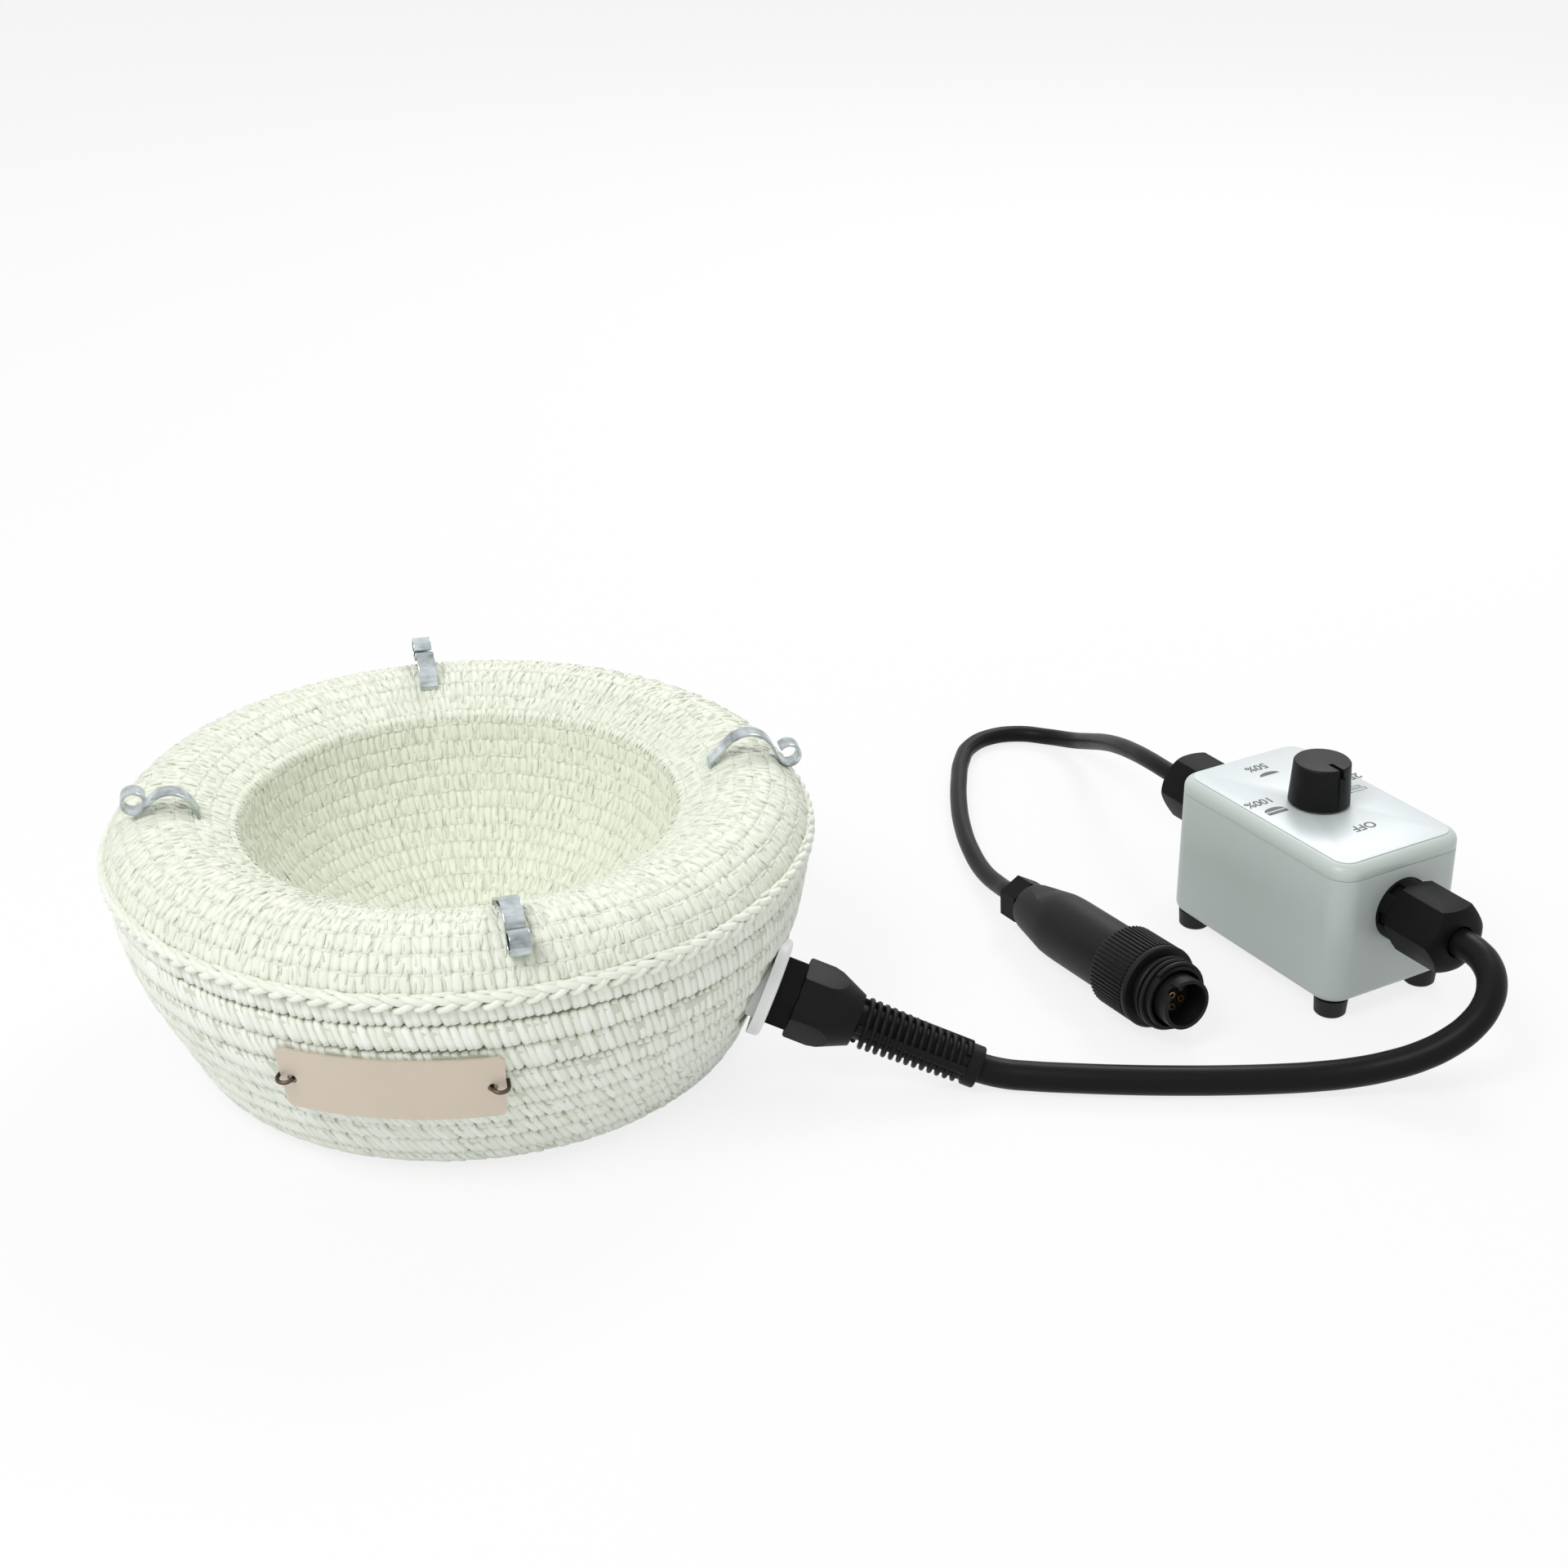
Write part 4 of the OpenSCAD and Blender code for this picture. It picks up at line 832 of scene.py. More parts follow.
# %% [markdown]
# ## The cloth under the stitches
# Between the legs one looks on to the lower layers of yarn. A shell just under the
# stitches stands for them: the profile turned once round, with a wall, and with the
# gland's seat cut out of it. Its colour is darkened with painted shade, most in the
# grooves between the cover's rows.

# %% Shells under the stitches
def profile_points(start_s, end_s, height, step=3.0):
    """An outline for turning, at a height off the profile."""
    s = np.append(np.arange(start_s, end_s, step), end_s)
    return [(max(r, 0), z) for r, z in zip(*off_profile(s, height))]


def shade_attributes(piece, depth, tone=0.5):
    """A shell's depth, which sets its painted shade, is one number or one for each point; its strand map
    follows its place.
    """
    mesh = piece.data
    point_values(mesh, "depth", depth, len(mesh.vertices))
    point_values(mesh, "tone", tone, len(mesh.vertices))
    while mesh.uv_layers:
        mesh.uv_layers.remove(mesh.uv_layers[0])
    layer = mesh.uv_layers.new(name="strand")
    ends = np.array([mesh.vertices[i.vertex_index].co[:] for i in mesh.loops])
    strands_round, strands_up = 16, 200
    around = np.arctan2(ends[:, 1], ends[:, 0]) * strands_round
    layer.data.foreach_set("uv", np.column_stack((around, ends[:, 2] * strands_up)).reshape(-1))


def rope(s):
    """From 0 in a groove between two rows to 1 on the crown of a row."""
    nearest = np.min(np.abs(np.asarray(s)[..., None] - groove_s), axis=-1)
    return np.clip(nearest / 2.2, 0, 1) ** 0.6


cloth_start, cloth_inside, cloth_shade_depth = seam_s + 0.8, -3.9, 0.42
cover_s = np.append(np.arange(cloth_start, groove_s[-1], 0.7),
                    np.arange(groove_s[-1] + 0.5, s_table[-1], 3.0))
bulge = -2.9 + 2.0 * rope(cover_s)
bulge[cover_s > groove_s[-1]] = -1.6
outside = [(max(r, 0), z) for r, z in zip(*off_profile(cover_s, bulge))]
inside = profile_points(cloth_start, s_table[-1], cloth_inside)
cover_cloth = turned("cover_cloth", outside + inside[::-1] + outside[:1], 160)
cut(cover_cloth, place(prism("seat", 64, 15.7, cloth_inside, 12), gland_frame))
cut(cover_cloth, place(prism("hole", 48, 10.8, -30, 8), gland_frame))
points = np.array([v.co for v in cover_cloth.data.vertices]) / mm
nearest_s = np.argmin(np.hypot(np.hypot(points[:, 0], points[:, 1])[:, None] - r_table[::4],
                               points[:, 2][:, None] - z_table[::4]), axis=1)
# Painted shade: the cover's shell is painted darkest in the grooves between rows and lighter towards their
# middles.
shade_attributes(cover_cloth, cloth_shade_depth * rope(s_table[::4][nearest_s]))
smooth(dress(cover_cloth, cover_yarn, "mantle", "cover_yarn", "outer_cover"), 50)

near_pole = 0.2
outside = profile_points(near_pole, seam_s, -0.4)
inside = profile_points(near_pole, seam_s, cloth_inside)
insert_cloth = turned("insert_cloth", outside + inside[::-1] + outside[:1], 160)
# Painted shade: the insert's shell is painted a little darker than the strands over it.
shade_attributes(insert_cloth, cloth_shade_depth)
smooth(dress(insert_cloth, insert_yarn, "mantle", "insert_yarn", "heating_insert"), 50)
print("cloth shells:", len(cover_cloth.data.polygons), len(insert_cloth.data.polygons))


# %% [markdown]
# ## The insert: rim and bowl
# The insert is a flatter fabric. Its stitches stand in straight columns: two upright legs
# side by side and a short strand across their head, with a small hole at the corner of
# each column, where the shell below shows with painted shade. Over the rim all rows have
# the same number of stitches, so the columns narrow towards the mouth. Down in the bowl,
# stitches are left out to keep their width.
# Loose bundles of filaments lie over the legs and break up their outline.

# %% Rows of the insert
row_tall = 5.6


def insert_row(legs, bars, fibres, mid_s, stitches, sunk=0.0):
    """Adds the strands of one row to three lists: upright legs, bars and loose fibres."""
    middle_r = float(radius_at(mid_s))
    pitch = full_round * middle_r / stitches
    for k in range(stitches):
        azimuth = (k + 0.5) * full_round / stitches
        nudge = rng.normal(0, 0.05) * pitch / middle_r
        for side in (-1, 1):
            legs.append((mid_s + rng.normal(0, 0.14), azimuth + nudge + side * 0.235 * pitch / middle_r,
                         row_tall * rng.uniform(1.08, 1.26), 0.55 + side * rng.uniform(-0.3, 0.6),
                         0.62 * pitch * rng.uniform(0.92, 1.12), rng.uniform(1.3, 1.6),
                         rng.uniform(-0.5, -0.35) - sunk, 0.5, rng.uniform(0.35, 0.55), rng.random()))
            fibres.append((mid_s + rng.normal(0, 1.3), azimuth + nudge + side * rng.uniform(0.04, 0.42)
                           * pitch / middle_r, row_tall * rng.uniform(0.5, 0.8), rng.normal(0, 0.7),
                           rng.uniform(0.5, 0.85), 0.8, rng.uniform(0.1, 0.35) - sunk, 0.25, 0.25,
                           rng.uniform(0.5, 1)))
        bars.append((mid_s - row_tall * 0.42 + rng.normal(0, 0.15), azimuth + nudge, rng.normal(0, 0.3),
                     pitch * rng.uniform(0.8, 0.98), 1.35, rng.uniform(1.3, 1.6),
                     rng.uniform(-0.45, -0.2) - sunk, 0.5, 0.5, rng.random()))


rim_count, bowl_stitch, pole_hole = 115, 4.6, 4
rim_rows, bowl_rows = ([], [], []), ([], [], [])
row_s = seam_s - 2.4 - row_tall / 2
while row_s > pole_hole:
    if row_s > rim_start_s - 18:
        insert_row(*rim_rows, row_s, rim_count)
    else:
        count = max(fewest, int(radius_at(row_s) * full_round / bowl_stitch))
        insert_row(*bowl_rows, row_s, count, sunk=0.05)
    row_s -= row_tall


def insert_top(s, azimuth):
    """Inside the bowl the yarn stays clear of the flask."""
    return np.where(s < rim_start_s - 4, 0.35, 3.0)


for part, rows in (("rim", rim_rows), ("bowl", bowl_rows)):
    for kind, legs in zip(("stitches", "crossings", "fibres"), rows):
        piece = lay_strands(part + "_" + kind, small_strand, legs, insert_top)
        dress(piece, insert_yarn, "mantle", "insert_yarn", "heating_insert")


# %% [markdown]
# ## The seam braid
# Insert and cover are joined by a chain of thick yarn. From outside it looks like a plait:
# long upper strands run down to the right, shorter lower ones run up to it, and each
# goes under the next. Two kinds of strand, laid in turn, give that.

# %% Braid
braid_legs = []
links = 112
for k in range(links):
    azimuth = k * full_round / links
    braid_legs.append((seam_s - 0.75 + rng.normal(0, 0.15), azimuth, rng.uniform(1.9, 2.7),
                       rng.uniform(8.6, 10), 2.35, 2.3, 1.05, 0.6, 0.9, rng.random()))
    braid_legs.append((seam_s + 1.0 + rng.normal(0, 0.15), azimuth + 0.027, rng.uniform(-3.2, -2.4),
                       rng.uniform(6.6, 7.8), 2.3, 2.2, 0.95, 0.8, 0.8, rng.random()))
    braid_legs.append((seam_s - 2.0 + rng.normal(0, 0.2), azimuth + 0.012, rng.uniform(-0.4, 0.8),
                       rng.uniform(6.4, 8), 1.5, 1.6, 0.35, 0.6, 0.6, rng.random()))
seam_braid = lay_strands("seam_plait", fine_strand, braid_legs)
dress(seam_braid, braid_yarn, "mantle", "braid_yarn", "seam_braid")


# %% [markdown]
# ## Hooks
# Each hook is a flat zinc-plated wire bent over the rim, with an eye at its outer end for
# a spring or a cord. By hand one would draw its side view and give it width. So the side
# view is a curve, extruded to the wire's width, then given its thickness and soft edges.
# Weighted normals keep the broad faces even in the light beside their narrow edges.

# %% Hook
hook_w, hook_t, tail, lift, bend_r, eye_r, in_a = 5.8, 0.9, 13, 1.2, 2, 3.4, 15.5
hook_root_r, hook_root_z, eye_sweep = 77.5, 81.0353, 298


def direction(degrees):
    """A unit vector in the hook's side view."""
    return np.array([math.cos(math.radians(degrees)), math.sin(math.radians(degrees))])


def model_hook(name, azimuth, lean, stem, arch_r, out_a, run):
    """Tail, bend over the root, straight stem, arch, straight run and curled eye."""
    foot = lift * direction(90 + in_a)
    bend_c = foot + bend_r * direction(in_a)
    bend_a = 180 + in_a - lean
    arch_c = bend_c + (bend_r - arch_r) * direction(bend_a) + stem * direction(bend_a - 90)
    eye_c = arch_c + (arch_r + eye_r) * direction(out_a) + run * direction(out_a - 90)
    line = [foot - depth * direction(90 + in_a) for depth in (tail, tail / 2)]
    line += [bend_c + bend_r * direction(a) for a in np.linspace(180 + in_a, bend_a, 8)]
    line += [arch_c + arch_r * direction(a) for a in np.linspace(bend_a, out_a, 24)]
    line += [eye_c + eye_r * direction(out_a - 180 + a) for a in np.linspace(0, eye_sweep, 28)]
    data = bpy.data.curves.new(name, "CURVE")
    data.dimensions = "2D"
    data.fill_mode = "NONE"
    data.extrude = hook_w / 2 * mm
    spline = data.splines.new("POLY")
    spline.points.add(len(line) - 1)
    for point, (x, y) in zip(spline.points, line):
        point.co = (x * mm, y * mm, 0, 1)
    hook = tidy_mesh(as_mesh(add_object(name, data)))
    modified(hook, "SOLIDIFY", thickness=hook_t * mm, offset=0)
    rounded_edges(hook, 0.22, 2, 50)
    frame_of_hook = turn("Z", azimuth) @ at_mm(hook_root_r, 0, hook_root_z) @ turn("X", 90)
    smooth(place(hook, frame_of_hook), 40)
    return modified(hook, "WEIGHTED_NORMAL", keep_sharp=True)


left_bends = (42.5, 3.9, 7, 50.5, 4.6)
hook_bends = {"left": (193.0, *left_bends), "front": (285.6, 78, 10.6, 8.1, 21.6, 3),
              "right": (370.7, 60.5, 8.1, 8.3, 24.5, 5), "rear": (463.6, *left_bends)}
for side, bends in hook_bends.items():
    hook = model_hook("zinc_hook_" + side, *bends)
    dress(hook, zinc, "mantle", "zinc_steel", "hook_" + side)
print("hooks are bent")


# %% [markdown]
# ## Gland nuts
# A gland squeezes a rubber seal on the lead. Its nut is a hexagon that turns into a dome
# or a cone. That shape is what a hexagonal prism and a turned body share, so one is kept
# inside the other, and the meeting edges come out as the arcs that real nuts have.

# %% Nut helper
def gland_nut(name, outline, across_flats, low, high):
    """A turned body cut to a hexagon."""
    body = turned(name, outline, 96)
    hexagon = prism("hexagon", 6, across_flats / math.cos(math.radians(30)) / 2, low, high)
    cut(body, hexagon, "INTERSECT")
    rounded_edges(body, 0.3, 2, 20)
    return smooth(body, 30)


def dome(mouth, top, radius, count=9):
    """A quarter round from the nut's side to its mouth."""
    return [(mouth + 1.2 + radius * math.cos(math.radians(a)),
             top - radius + radius * math.sin(math.radians(a))) for a in np.linspace(14, 90, count)]


thread_r, seal_r, seal_low, seal_high = 8.0, 6.55, 13.7, 18.2


def nut_inside(mouth, top, foot):
    """Down through the nut: the lead's hole, the room for the seal and the thread."""
    return [(mouth, top), (mouth, seal_high), (seal_r, seal_high), (seal_r, seal_low),
            (thread_r, seal_low), (thread_r, foot)]


print("nut helpers are ready")


# %% [markdown]
# ## Box gland nuts
# Both nuts at the box are the same: a hexagon with a chamfer at its foot and a dome with
# a round mouth for the lead.

# %% Box gland nuts
nut_foot, nut_top, nut_mouth, nut_flats = 4.7, 26, 5.2, 21
box_nut_outline = [(thread_r, nut_foot), (11.0, nut_foot), (12.3, nut_foot + 1.2), (12.3, 15.2)]
box_nut_outline += dome(nut_mouth, nut_top, 7) + nut_inside(nut_mouth, nut_top, nut_foot)
for end, where in (("front", front_frame), ("rear", rear_frame)):
    nut = gland_nut("box_nut_" + end, box_nut_outline, nut_flats, nut_foot - 0.7, nut_top + 1)
    dress(place(nut, where), black_nylon, "mantle", "black_nylon", end + "_gland_nut")
print("box nuts are in place")


# %% [markdown]
# ## The mantle gland's nut with its spiral
# This nut ends in a spring-like spiral that keeps the lead from kinking where it leaves.
# The nut is made as before. The spiral is a true helix that narrows towards its free end:
# a curve with a round bevel, turned to mesh. A thin sleeve, three bars along it and an
# end ring complete the moulding. The flats carry a fine diamond knurl, in the material.

# %% Spiral
def helix(name, turns, low, high, radius_low, radius_high, wire, per_turn=28):
    """A round wire wound about Z, as a mesh."""
    count = int(turns * per_turn) + 1
    data = bpy.data.curves.new(name, "CURVE")
    data.dimensions = "3D"
    data.bevel_depth = wire * mm
    data.bevel_resolution = 2
    data.use_fill_caps = True
    spline = data.splines.new("POLY")
    spline.points.add(count - 1)
    for i, point in enumerate(spline.points):
        u = i / (count - 1)
        radius = (radius_low + (radius_high - radius_low) * u) * mm
        angle = 2 * math.pi * turns * u
        point.co = (radius * math.cos(angle), radius * math.sin(angle), (low + (high - low) * u) * mm, 1)
    return smooth(as_mesh(add_object(name, data)), 60)


spiral_foot, cone_top, guard_bore, guard_top, spiral_flats = 6.7, 26.2, 5.05, 66, 22
spiral_nut = gland_nut("spiral_nut_body", [
    (thread_r, spiral_foot), (12.2, spiral_foot), (12.75, spiral_foot + 0.6), (12.75, 14.2), (12.1, 17.4),
    (8.2, cone_top)] + nut_inside(guard_bore, cone_top, spiral_foot), spiral_flats, 6, 27)
coil = helix("coil", 13.6, 27.6, 61.2, 7.35, 5.95, 0.82)
sleeve = turned("sleeve", [(guard_bore, 25.8), (5.6, 25.8), (5.6, 62.2), (guard_bore, 62.2),
                           (guard_bore, 25.8)], 48)
ring = turned("end_ring", [(guard_bore, 61.8), (6.3, 61.8), (6.6, 62.1), (6.6, guard_top - 0.4),
                           (6.3, guard_top), (guard_bore, guard_top), (guard_bore, 61.8)], 64)
bars = []
for angle in (20, 140, 260):
    bar = block("bar", (2.0, 2.6, 36), (6.2, 0, 44.2))
    modified(bar, "BEVEL", width=0.4 * mm, segments=1)
    bars.append(place(bar, turn("Z", angle)))
print("spiral coil faces:", len(coil.data.polygons))


# %% Knurl on the flats
def knurled(name):
    """Black nylon with a diamond knurl on the flats, which its UV map marks out."""
    material, start, shader = new_material(name)
    where = start.node("ShaderNodeUVMap", {"uv_map": "knurl"})
    parts = [start.node("ShaderNodeSeparateXYZ", None, {0: where}, output=i) for i in (0, 1)]
    mask = start.node("ShaderNodeAttribute", {"attribute_name": "flat"}, output="Fac")

    def wave(value):
        """The sine of a value."""
        return start.node("ShaderNodeMath", {"operation": "SINE"}, {0: value})

    per_mm = 5.2
    ridges = wave((parts[0] + parts[1]) * per_mm) * wave((parts[0] - parts[1]) * per_mm)
    grain = noise(start, object_place(start), 2600, 2)
    relief = ridges * mask * 0.5 + grain * 0.12
    clouds = noise(start, object_place(start), 60, 3)
    base = clouds.mix(colour(15, 15, 15), colour(21, 21, 21))
    finish_shader(start, shader, {"Base Color": base, "Roughness": 0.4 + clouds * 0.1 + mask * 0.08},
                  {"Specular IOR Level": 0.12}, bump=relief, strength=0.9, distance_mm=0.5)
    return material


def mark_flats(piece, flats, low, high):
    """A knurl map in mm on every face, and a mark on the flats of a hexagon."""
    mesh = piece.data
    layer = mesh.uv_layers.new(name="knurl")
    mark = mesh.attributes.new("flat", "FLOAT", "CORNER")
    for face in mesh.polygons:
        angle = math.atan2(face.normal.y, face.normal.x)
        side = math.radians(30 + 60 * round((math.degrees(angle) - 30) / 60))
        is_flat = abs(face.normal.z) < 0.05 and math.cos(angle - side) > 0.9999 and \
            abs(face.center.xy.length - flats * mm) < 2.2 * mm
        for index in face.loop_indices:
            co = mesh.vertices[mesh.loops[index].vertex_index].co / mm
            across = -co.x * math.sin(side) + co.y * math.cos(side)
            layer.data[index].uv = (across, co.z)
            mark.data[index].value = 1.0 if is_flat and low < face.center.z / mm < high else 0.0


mark_flats(spiral_nut, spiral_flats / 2, 7, 19)
flat_faces = sum(v.value > 0.5 for v in spiral_nut.data.attributes["flat"].data)
spiral_piece = join([spiral_nut, coil, sleeve, ring] + bars, "spiral_nut_moulding")
place(spiral_piece, gland_frame)
dress(spiral_piece, knurled("knurled_nylon"), "mantle", "black_nylon", "spiral_nut")
print("corners on knurled flats:", flat_faces)


# %% [markdown]
# ## The box
# The box is two mouldings with round corners. Each starts as a cube: its upright edges
# are rounded first, with the large radius, then the rim of its outer face with the small
# one. The base is hollowed by an inset and an extrusion, and gets the two lead holes.

# %% Box helpers
box_corner, box_wall, seam_lip = 8, 2.3, 0.35


def bevel_edges(piece, test, width_mm, segments):
    """Rounds the edges whose two ends pass a test."""
    pick(piece)
    bpy.ops.object.mode_set(mode="EDIT")
    bpy.ops.mesh.select_mode(type="EDGE")
    bpy.ops.mesh.select_all(action="DESELECT")
    bpy.ops.object.mode_set(mode="OBJECT")
    for edge in piece.data.edges:
        a, b = (piece.data.vertices[i].co / mm for i in edge.vertices)
        edge.select = bool(test(a, b))
    bpy.ops.object.mode_set(mode="EDIT")
    bpy.ops.mesh.bevel(offset=width_mm * mm, segments=segments, affect="EDGES")
    bpy.ops.object.mode_set(mode="OBJECT")
    return piece


def upright(a, b):
    """True for an edge that goes up."""
    return abs(a.z - b.z) > 0.1


def level(z):
    """A test for edges that lie at a height."""
    return lambda a, b: abs(a.z - z) < 0.01 and abs(b.z - z) < 0.01


def rounded_box(name, low, high, outer, edge):
    """Half of the box between two heights, with soft edges round its outer face."""
    piece = block(name, (box_l, box_w, high - low), (0, 0, (low + high) / 2))
    bevel_edges(piece, upright, box_corner, 10)
    bevel_edges(piece, level(outer), edge, 6)
    return bevel_edges(piece, level(low + high - outer), seam_lip, 2)


def hollow(piece, face_z, depth):
    """Insets the face at a height by the wall and pushes it into the piece."""
    pick(piece)
    bpy.ops.object.mode_set(mode="EDIT")
    bpy.ops.mesh.select_mode(type="FACE")
    bpy.ops.mesh.select_all(action="DESELECT")
    bpy.ops.object.mode_set(mode="OBJECT")
    faces = [p for p in piece.data.polygons if abs(p.center.z - face_z * mm) < 0.01 * mm]
    face = max(faces, key=lambda p: p.area)
    face.select = True
    bpy.ops.object.mode_set(mode="EDIT")
    bpy.ops.mesh.inset(thickness=box_wall * mm, depth=0)
    bpy.ops.mesh.extrude_region_move(TRANSFORM_OT_translate={"value": (0, 0, depth * mm)})
    bpy.ops.object.mode_set(mode="OBJECT")
    return tidy_mesh(piece)


print("box helpers are ready")


# %% Box base and lid
seam_z, top_z = foot_h + box_h - lid_h, foot_h + box_h
tub_edge, lid_edge, tub_floor, lid_room = 3.4, 3.2, 3, 2.4
lead_hole_r, bushing_r = 8.15, 5.1
base = rounded_box("box_tub", foot_h, seam_z, foot_h, tub_edge)
hollow(base, seam_z, -(seam_z - foot_h - tub_floor))
drill = prism("drill", 48, lead_hole_r, -60, 60)
cut(base, place(drill, at_mm(0, 0, lead_z) @ turn("Y", 90)))
smooth(place(base, box_frame), 30)
dress(base, box_grey, "mantle", "box_grey", "box_base")

lid = rounded_box("box_cover", seam_z, top_z, top_z, lid_edge)
hollow(lid, seam_z, lid_room)
cut(lid, prism("bushing_hole", 48, bushing_r, seam_z - 2, top_z + 2))
smooth(place(lid, box_frame), 30)
dress(lid, lid_grey, "mantle", "lid_grey", "box_lid")
print("box faces:", len(base.data.polygons), len(lid.data.polygons))


# %% [markdown]
# ## The dial label
# A white printed sheet covers the lid. It has round corners, a hole for the switch and
# black print: the word for off, three percentages and small signs for the heated zones.
# The words are text objects turned to mesh, and the signs are short outlines filled in.

# %% Label sheet
label_border, label_t = 2.9, 0.3
label = block("label_sheet", (box_l - 2 * label_border, box_w - 2 * label_border, label_t),
              (0, 0, top_z + label_t / 2))
bevel_edges(label, upright, box_corner - label_border, 10)
cut(label, prism("bush", 48, bushing_r + 0.3, top_z - 1, top_z + 2))
rounded_edges(label, 0.08, 2, 60)
smooth(place(label, box_frame), 30)
dress(label, label_white, "mantle", "label", "dial_label")
print("label faces:", len(label.data.polygons))


# %% Label print
print_z = top_z + label_t + 0.01


def on_label(piece, centre, degrees):
    """Lays a flat piece on the label, turned about Z."""
    return place(piece, box_frame @ at_mm(*centre, print_z) @ turn("Z", degrees))


def word(text, size_mm, centre):
    """A word in the label's plane; it reads along -Y, with its head towards +X."""
    data = bpy.data.curves.new("word", "FONT")
    data.body = text
    data.size = size_mm * mm
    data.align_x, data.align_y = "CENTER", "CENTER"
    data.extrude = 0.02 * mm
    data.offset = 0.11 * mm
    return on_label(as_mesh(add_object("word", data)), centre, -90)


def sign(outline, centre):
    """A filled outline, upside down to the words, so that a dome bulges towards its word."""
    mesh = bpy.data.meshes.new("sign")
    mesh.from_pydata([(x * mm, y * mm, 0) for x, y in outline], [], [tuple(range(len(outline)))])
    item = modified(add_object("sign", mesh), "SOLIDIFY", thickness=0.04 * mm, offset=0)
    return on_label(item, centre, 90)


def half_round(width, height, low=0.0, count=14):
    """The outline of a low dome above a line."""
    return [(-width / 2, low)] + [(width / 2 * math.cos(a), low + height * math.sin(a))
                                  for a in np.linspace(math.pi, 0, count)] + [(width / 2, low)]


def rectangle(left, low, right, high):
    """The outline of a rectangle."""
    return [(left, low), (right, low), (right, high), (left, high)]


def frame_of(width, height, line, low):
    """Four thin bars round a rectangle."""
    w, high = width / 2, low + height
    return [rectangle(-w, low, w, low + line), rectangle(-w, high - line, w, high),
            rectangle(-w, low, line - w, high), rectangle(w - line, low, w, high)]


dome_w, dome_h, full_sign, low_sign, line_w = 8, 2.1, (-2.1, -16), (-1, 16.9), 0.28
prints = [word("OFF", 5.2, (20.8, 0.3)), word("25%", 5.0, (-8.6, 21)),
          word("50%", 5.0, (-30.4, -0.3)), word("100%", 5.0, (-9.6, -16.8)),
          sign(half_round(dome_w, dome_h), (-23.9, 0.1)),
          sign(half_round(dome_w, dome_h, low=0.5), full_sign),
          sign(rectangle(-dome_w / 2, -1.7, dome_w / 2, -0.1), full_sign)]
prints += [sign(bar, low_sign) for bar in frame_of(7, 1.7, line_w, -1.6) + frame_of(5.4, 1.4, line_w, 0.6)]
print_work = join(prints, "label_print")
dress(print_work, print_black, "mantle", "label", "dial_label")
print("print faces:", len(print_work.data.polygons))


# %% [markdown]
# ## The knob
# The knob is a slightly tapered cap of matt black plastic. Its pointer is a notch in the
# top that runs into a narrow rib down the side. The cap is turned, hollowed underneath,
# and cut, and the rib is joined to it.

# %% Knob
knob_z, knob_r, knob_top_r, knob_h, knob_room, rib_h, shaft_r = 56.2, 10, 9.2, 14, 3.6, 11.4, 3.02
knob_top = knob_z + knob_h
knob = turned("knob_cap", [
    (0, knob_z + knob_room), (8, knob_z + knob_room), (8, knob_z), (knob_r, knob_z),
    (knob_top_r + 0.03, knob_top - 0.5), (knob_top_r - 0.4, knob_top), (0, knob_top)], 128)
rib = block("rib", (2.5, 1.9, rib_h), (knob_top_r - 0.45, 0, knob_z + rib_h / 2 + 0.05))
cut(knob, rib, "UNION")
cut(knob, block("notch", (8, 1.7, 6), (7.6, 0, knob_top)))
cut(knob, prism("shaft_hole", 32, shaft_r, knob_z + 1, knob_top - 3))
rounded_edges(knob, 0.18, 2, 28)
smooth(place(knob, box_frame), 30)
dress(knob, knob_black, "knob", "knob_black", "knob")
print("knob faces:", len(knob.data.polygons))


# %% [markdown]
# ## The round connector
# The second lead ends in a round connector: a long smooth body with two wrench flats, a
# knurled ring with a coarse thread, and a sleeve with a key slot round the contacts. The
# body is turned and cut. The ring's ridges are one ridge copied round. The thread is a
# helix like the gland's spiral.

# %% Connector body
shell_z, ring_z, ring_end, front_z = 8.6, 61.6, 81.1, 90.1
body = turned("plug_body", [
    (5.4, shell_z), (7.5, shell_z), (7.95, shell_z + 0.5), (8.5, shell_z + 2.5), (11.0, shell_z + 17),
    (11.2, shell_z + 20), (11.3, shell_z + 24), (11.3, ring_z - 0.9), (11.0, ring_z - 0.2),
    (9.4, ring_z - 0.2), (9.4, ring_z + 6), (6.6, ring_z + 6), (6.6, shell_z + 7), (5.4, shell_z + 6),
    (5.4, shell_z)], 96)
for side in (-1, 1):
    cut(body, block("flat", (12, 12, 12.4), (side * 14.4, 0, shell_z + 5.6)))
rounded_edges(body, 0.35, 2, 22)
smooth(place(body, plug_frame), 35)
dress(body, connector_black, "mantle", "black_nylon", "connector_body")
print("plug body faces:", len(body.data.polygons))


# %% Coupling ring
ring_body = turned("ring_turned", [
    (9.48, ring_z), (12.6, ring_z), (13.2, ring_z + 0.8), (13.2, ring_end - 2.2), (13.7, ring_end - 1.7),
    (13.75, ring_end - 0.6), (13.2, ring_end), (10.3, ring_end), (10.3, front_z), (9.48, front_z),
    (9.48, ring_z)], 120)
ridge = block("ridge", (0.9, 0.78, 16.2), (13.25, 0, (ring_z + ring_end) / 2 - 0.9))
modified(ridge, "BEVEL", width=0.3 * mm, segments=2)
ridges, ridge_count = [], 60
for k in range(ridge_count):
    ridges.append(add_object("ridge", ridge.data.copy()))
    ridges[-1].data.transform(turn("Z", 360 / ridge_count * k))
bpy.data.objects.remove(ridge)
thread = helix("thread", 2.6, ring_end + 1.3, front_z - 1.3, 10.85, 10.85, 0.85, 60)
ring_piece = join([smooth(ring_body, 30)] + ridges + [thread], "knurled_ring")
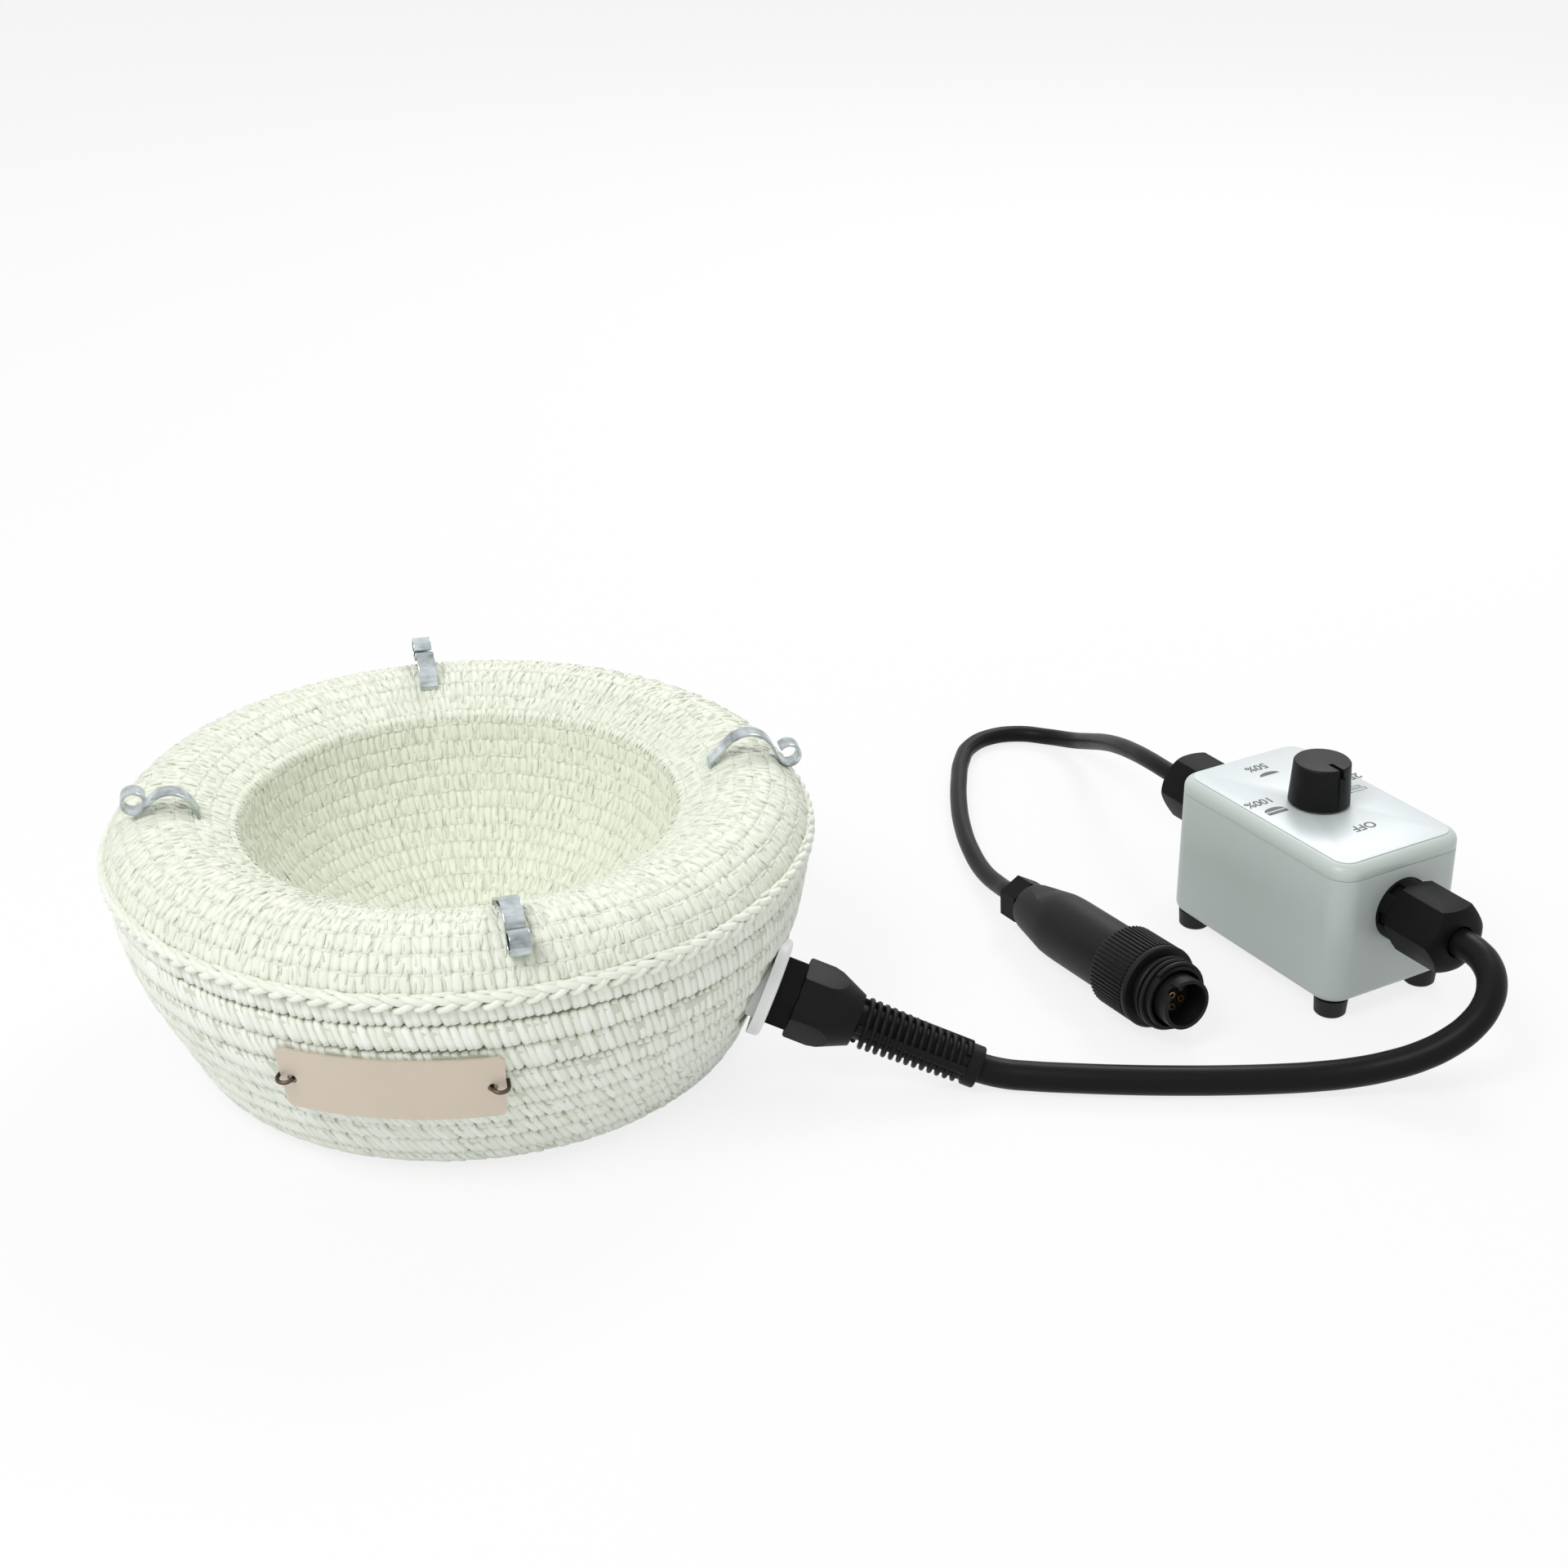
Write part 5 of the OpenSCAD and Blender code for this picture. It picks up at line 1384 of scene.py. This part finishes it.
smooth(place(ring_piece, plug_frame), 32)
dress(ring_piece, connector_black, "coupling_ring", "black_nylon", "coupling_ring")
print("ring faces:", len(ring_piece.data.polygons))


# %% Connector sleeve
sleeve_top = front_z + 5.5
shroud = turned("plug_sleeve", [
    (6.95, 67.8), (9.4, 67.8), (9.4, front_z - 4), (8.25, front_z - 3), (8.25, sleeve_top - 0.3),
    (7.95, sleeve_top), (7.2, sleeve_top), (6.95, sleeve_top - 0.3), (6.95, 67.8)], 96)
key_slot = block("key_slot", (4, 3.2, 9), (-8, 0, sleeve_top + 1.5))
cut(shroud, place(key_slot, turn("Z", 40)))
smooth(place(shroud, plug_frame), 35)
dress(shroud, connector_black, "mantle", "black_nylon", "connector_shroud")

# %% [markdown]
# ## Floor and light
# The object stands on a plain white floor in soft light, as in a small studio. The floor
# looks white to the camera and still takes a faint shadow. The world shows white as a
# background and gives less light than that, so that pale yarn keeps its modelling.

# %% Floor
def seen_directly(start):
    """One for camera, glossy and transmission rays, and zero for light that bounces."""
    rays = [start.node("ShaderNodeLightPath", output=name)
            for name in ("Is Camera Ray", "Is Glossy Ray", "Is Transmission Ray")]
    return (rays[0] + rays[1] + rays[2]).clamped()


def empty_tree(owner):
    """Clears a material's or a world's nodes, and gives the wire to start from."""
    owner.use_nodes = True
    owner.node_tree.nodes.clear()
    return Wire(owner.node_tree)


def end_tree(start, kind, surface):
    """Adds the output node of a tree and links the surface to it."""
    output = start.tree.nodes.new(kind)
    start.tree.links.new(surface.socket, output.inputs["Surface"])


clear_selection()
bpy.ops.mesh.primitive_plane_add(size=24, location=(0, 0, -0.0002))
floor = bpy.context.object
floor.name = "studio_floor"
floor_material = bpy.data.materials.new("studio_floor")
start = empty_tree(floor_material)
paper = start.node("ShaderNodeBsdfDiffuse", None, {"Color": (0.86, 0.87, 0.87, 1)})
glow = start.node("ShaderNodeEmission", None, {"Color": (1, 1, 1, 1), "Strength": 1.0})
shown = start.node("ShaderNodeMixShader", None, {0: seen_directly(start) * 0.8, 1: paper, 2: glow})
end_tree(start, "ShaderNodeOutputMaterial", shown)
floor.data.materials.append(floor_material)
print("floor is ready")


# %% World and lamps
world = bpy.data.worlds.new("studio_world")
bpy.context.scene.world = world
start = empty_tree(world)
soft = start.node("ShaderNodeBackground", None, {"Color": (0.985, 0.99, 0.975, 1), "Strength": 0.6})
white = start.node("ShaderNodeBackground", None, {"Color": (1, 1, 1, 1), "Strength": 1.0})
shown = start.node("ShaderNodeMixShader", None, {0: seen_directly(start), 1: soft, 2: white})
end_tree(start, "ShaderNodeOutputWorld", shown)


def soft_lamp(name, place_m, target_m, size, watts):
    """A square lamp that looks at a target."""
    data = bpy.data.lights.new(name, "AREA")
    data.shape = "SQUARE"
    data.size = size
    data.energy = watts
    lamp = add_object(name, data)
    lamp.location = place_m
    lamp.rotation_euler = (Vector(target_m) - Vector(place_m)).to_track_quat("-Z", "Y").to_euler()


soft_lamp("key_lamp", (-0.55, -0.75, 1.35), (0.1, 0, 0), 0.7, 11.5)
soft_lamp("back_lamp", (0.5, 1.1, 1.1), (0.1, 0, 0.02), 0.6, 8)
bpy.context.scene.view_settings.view_transform = "Standard"
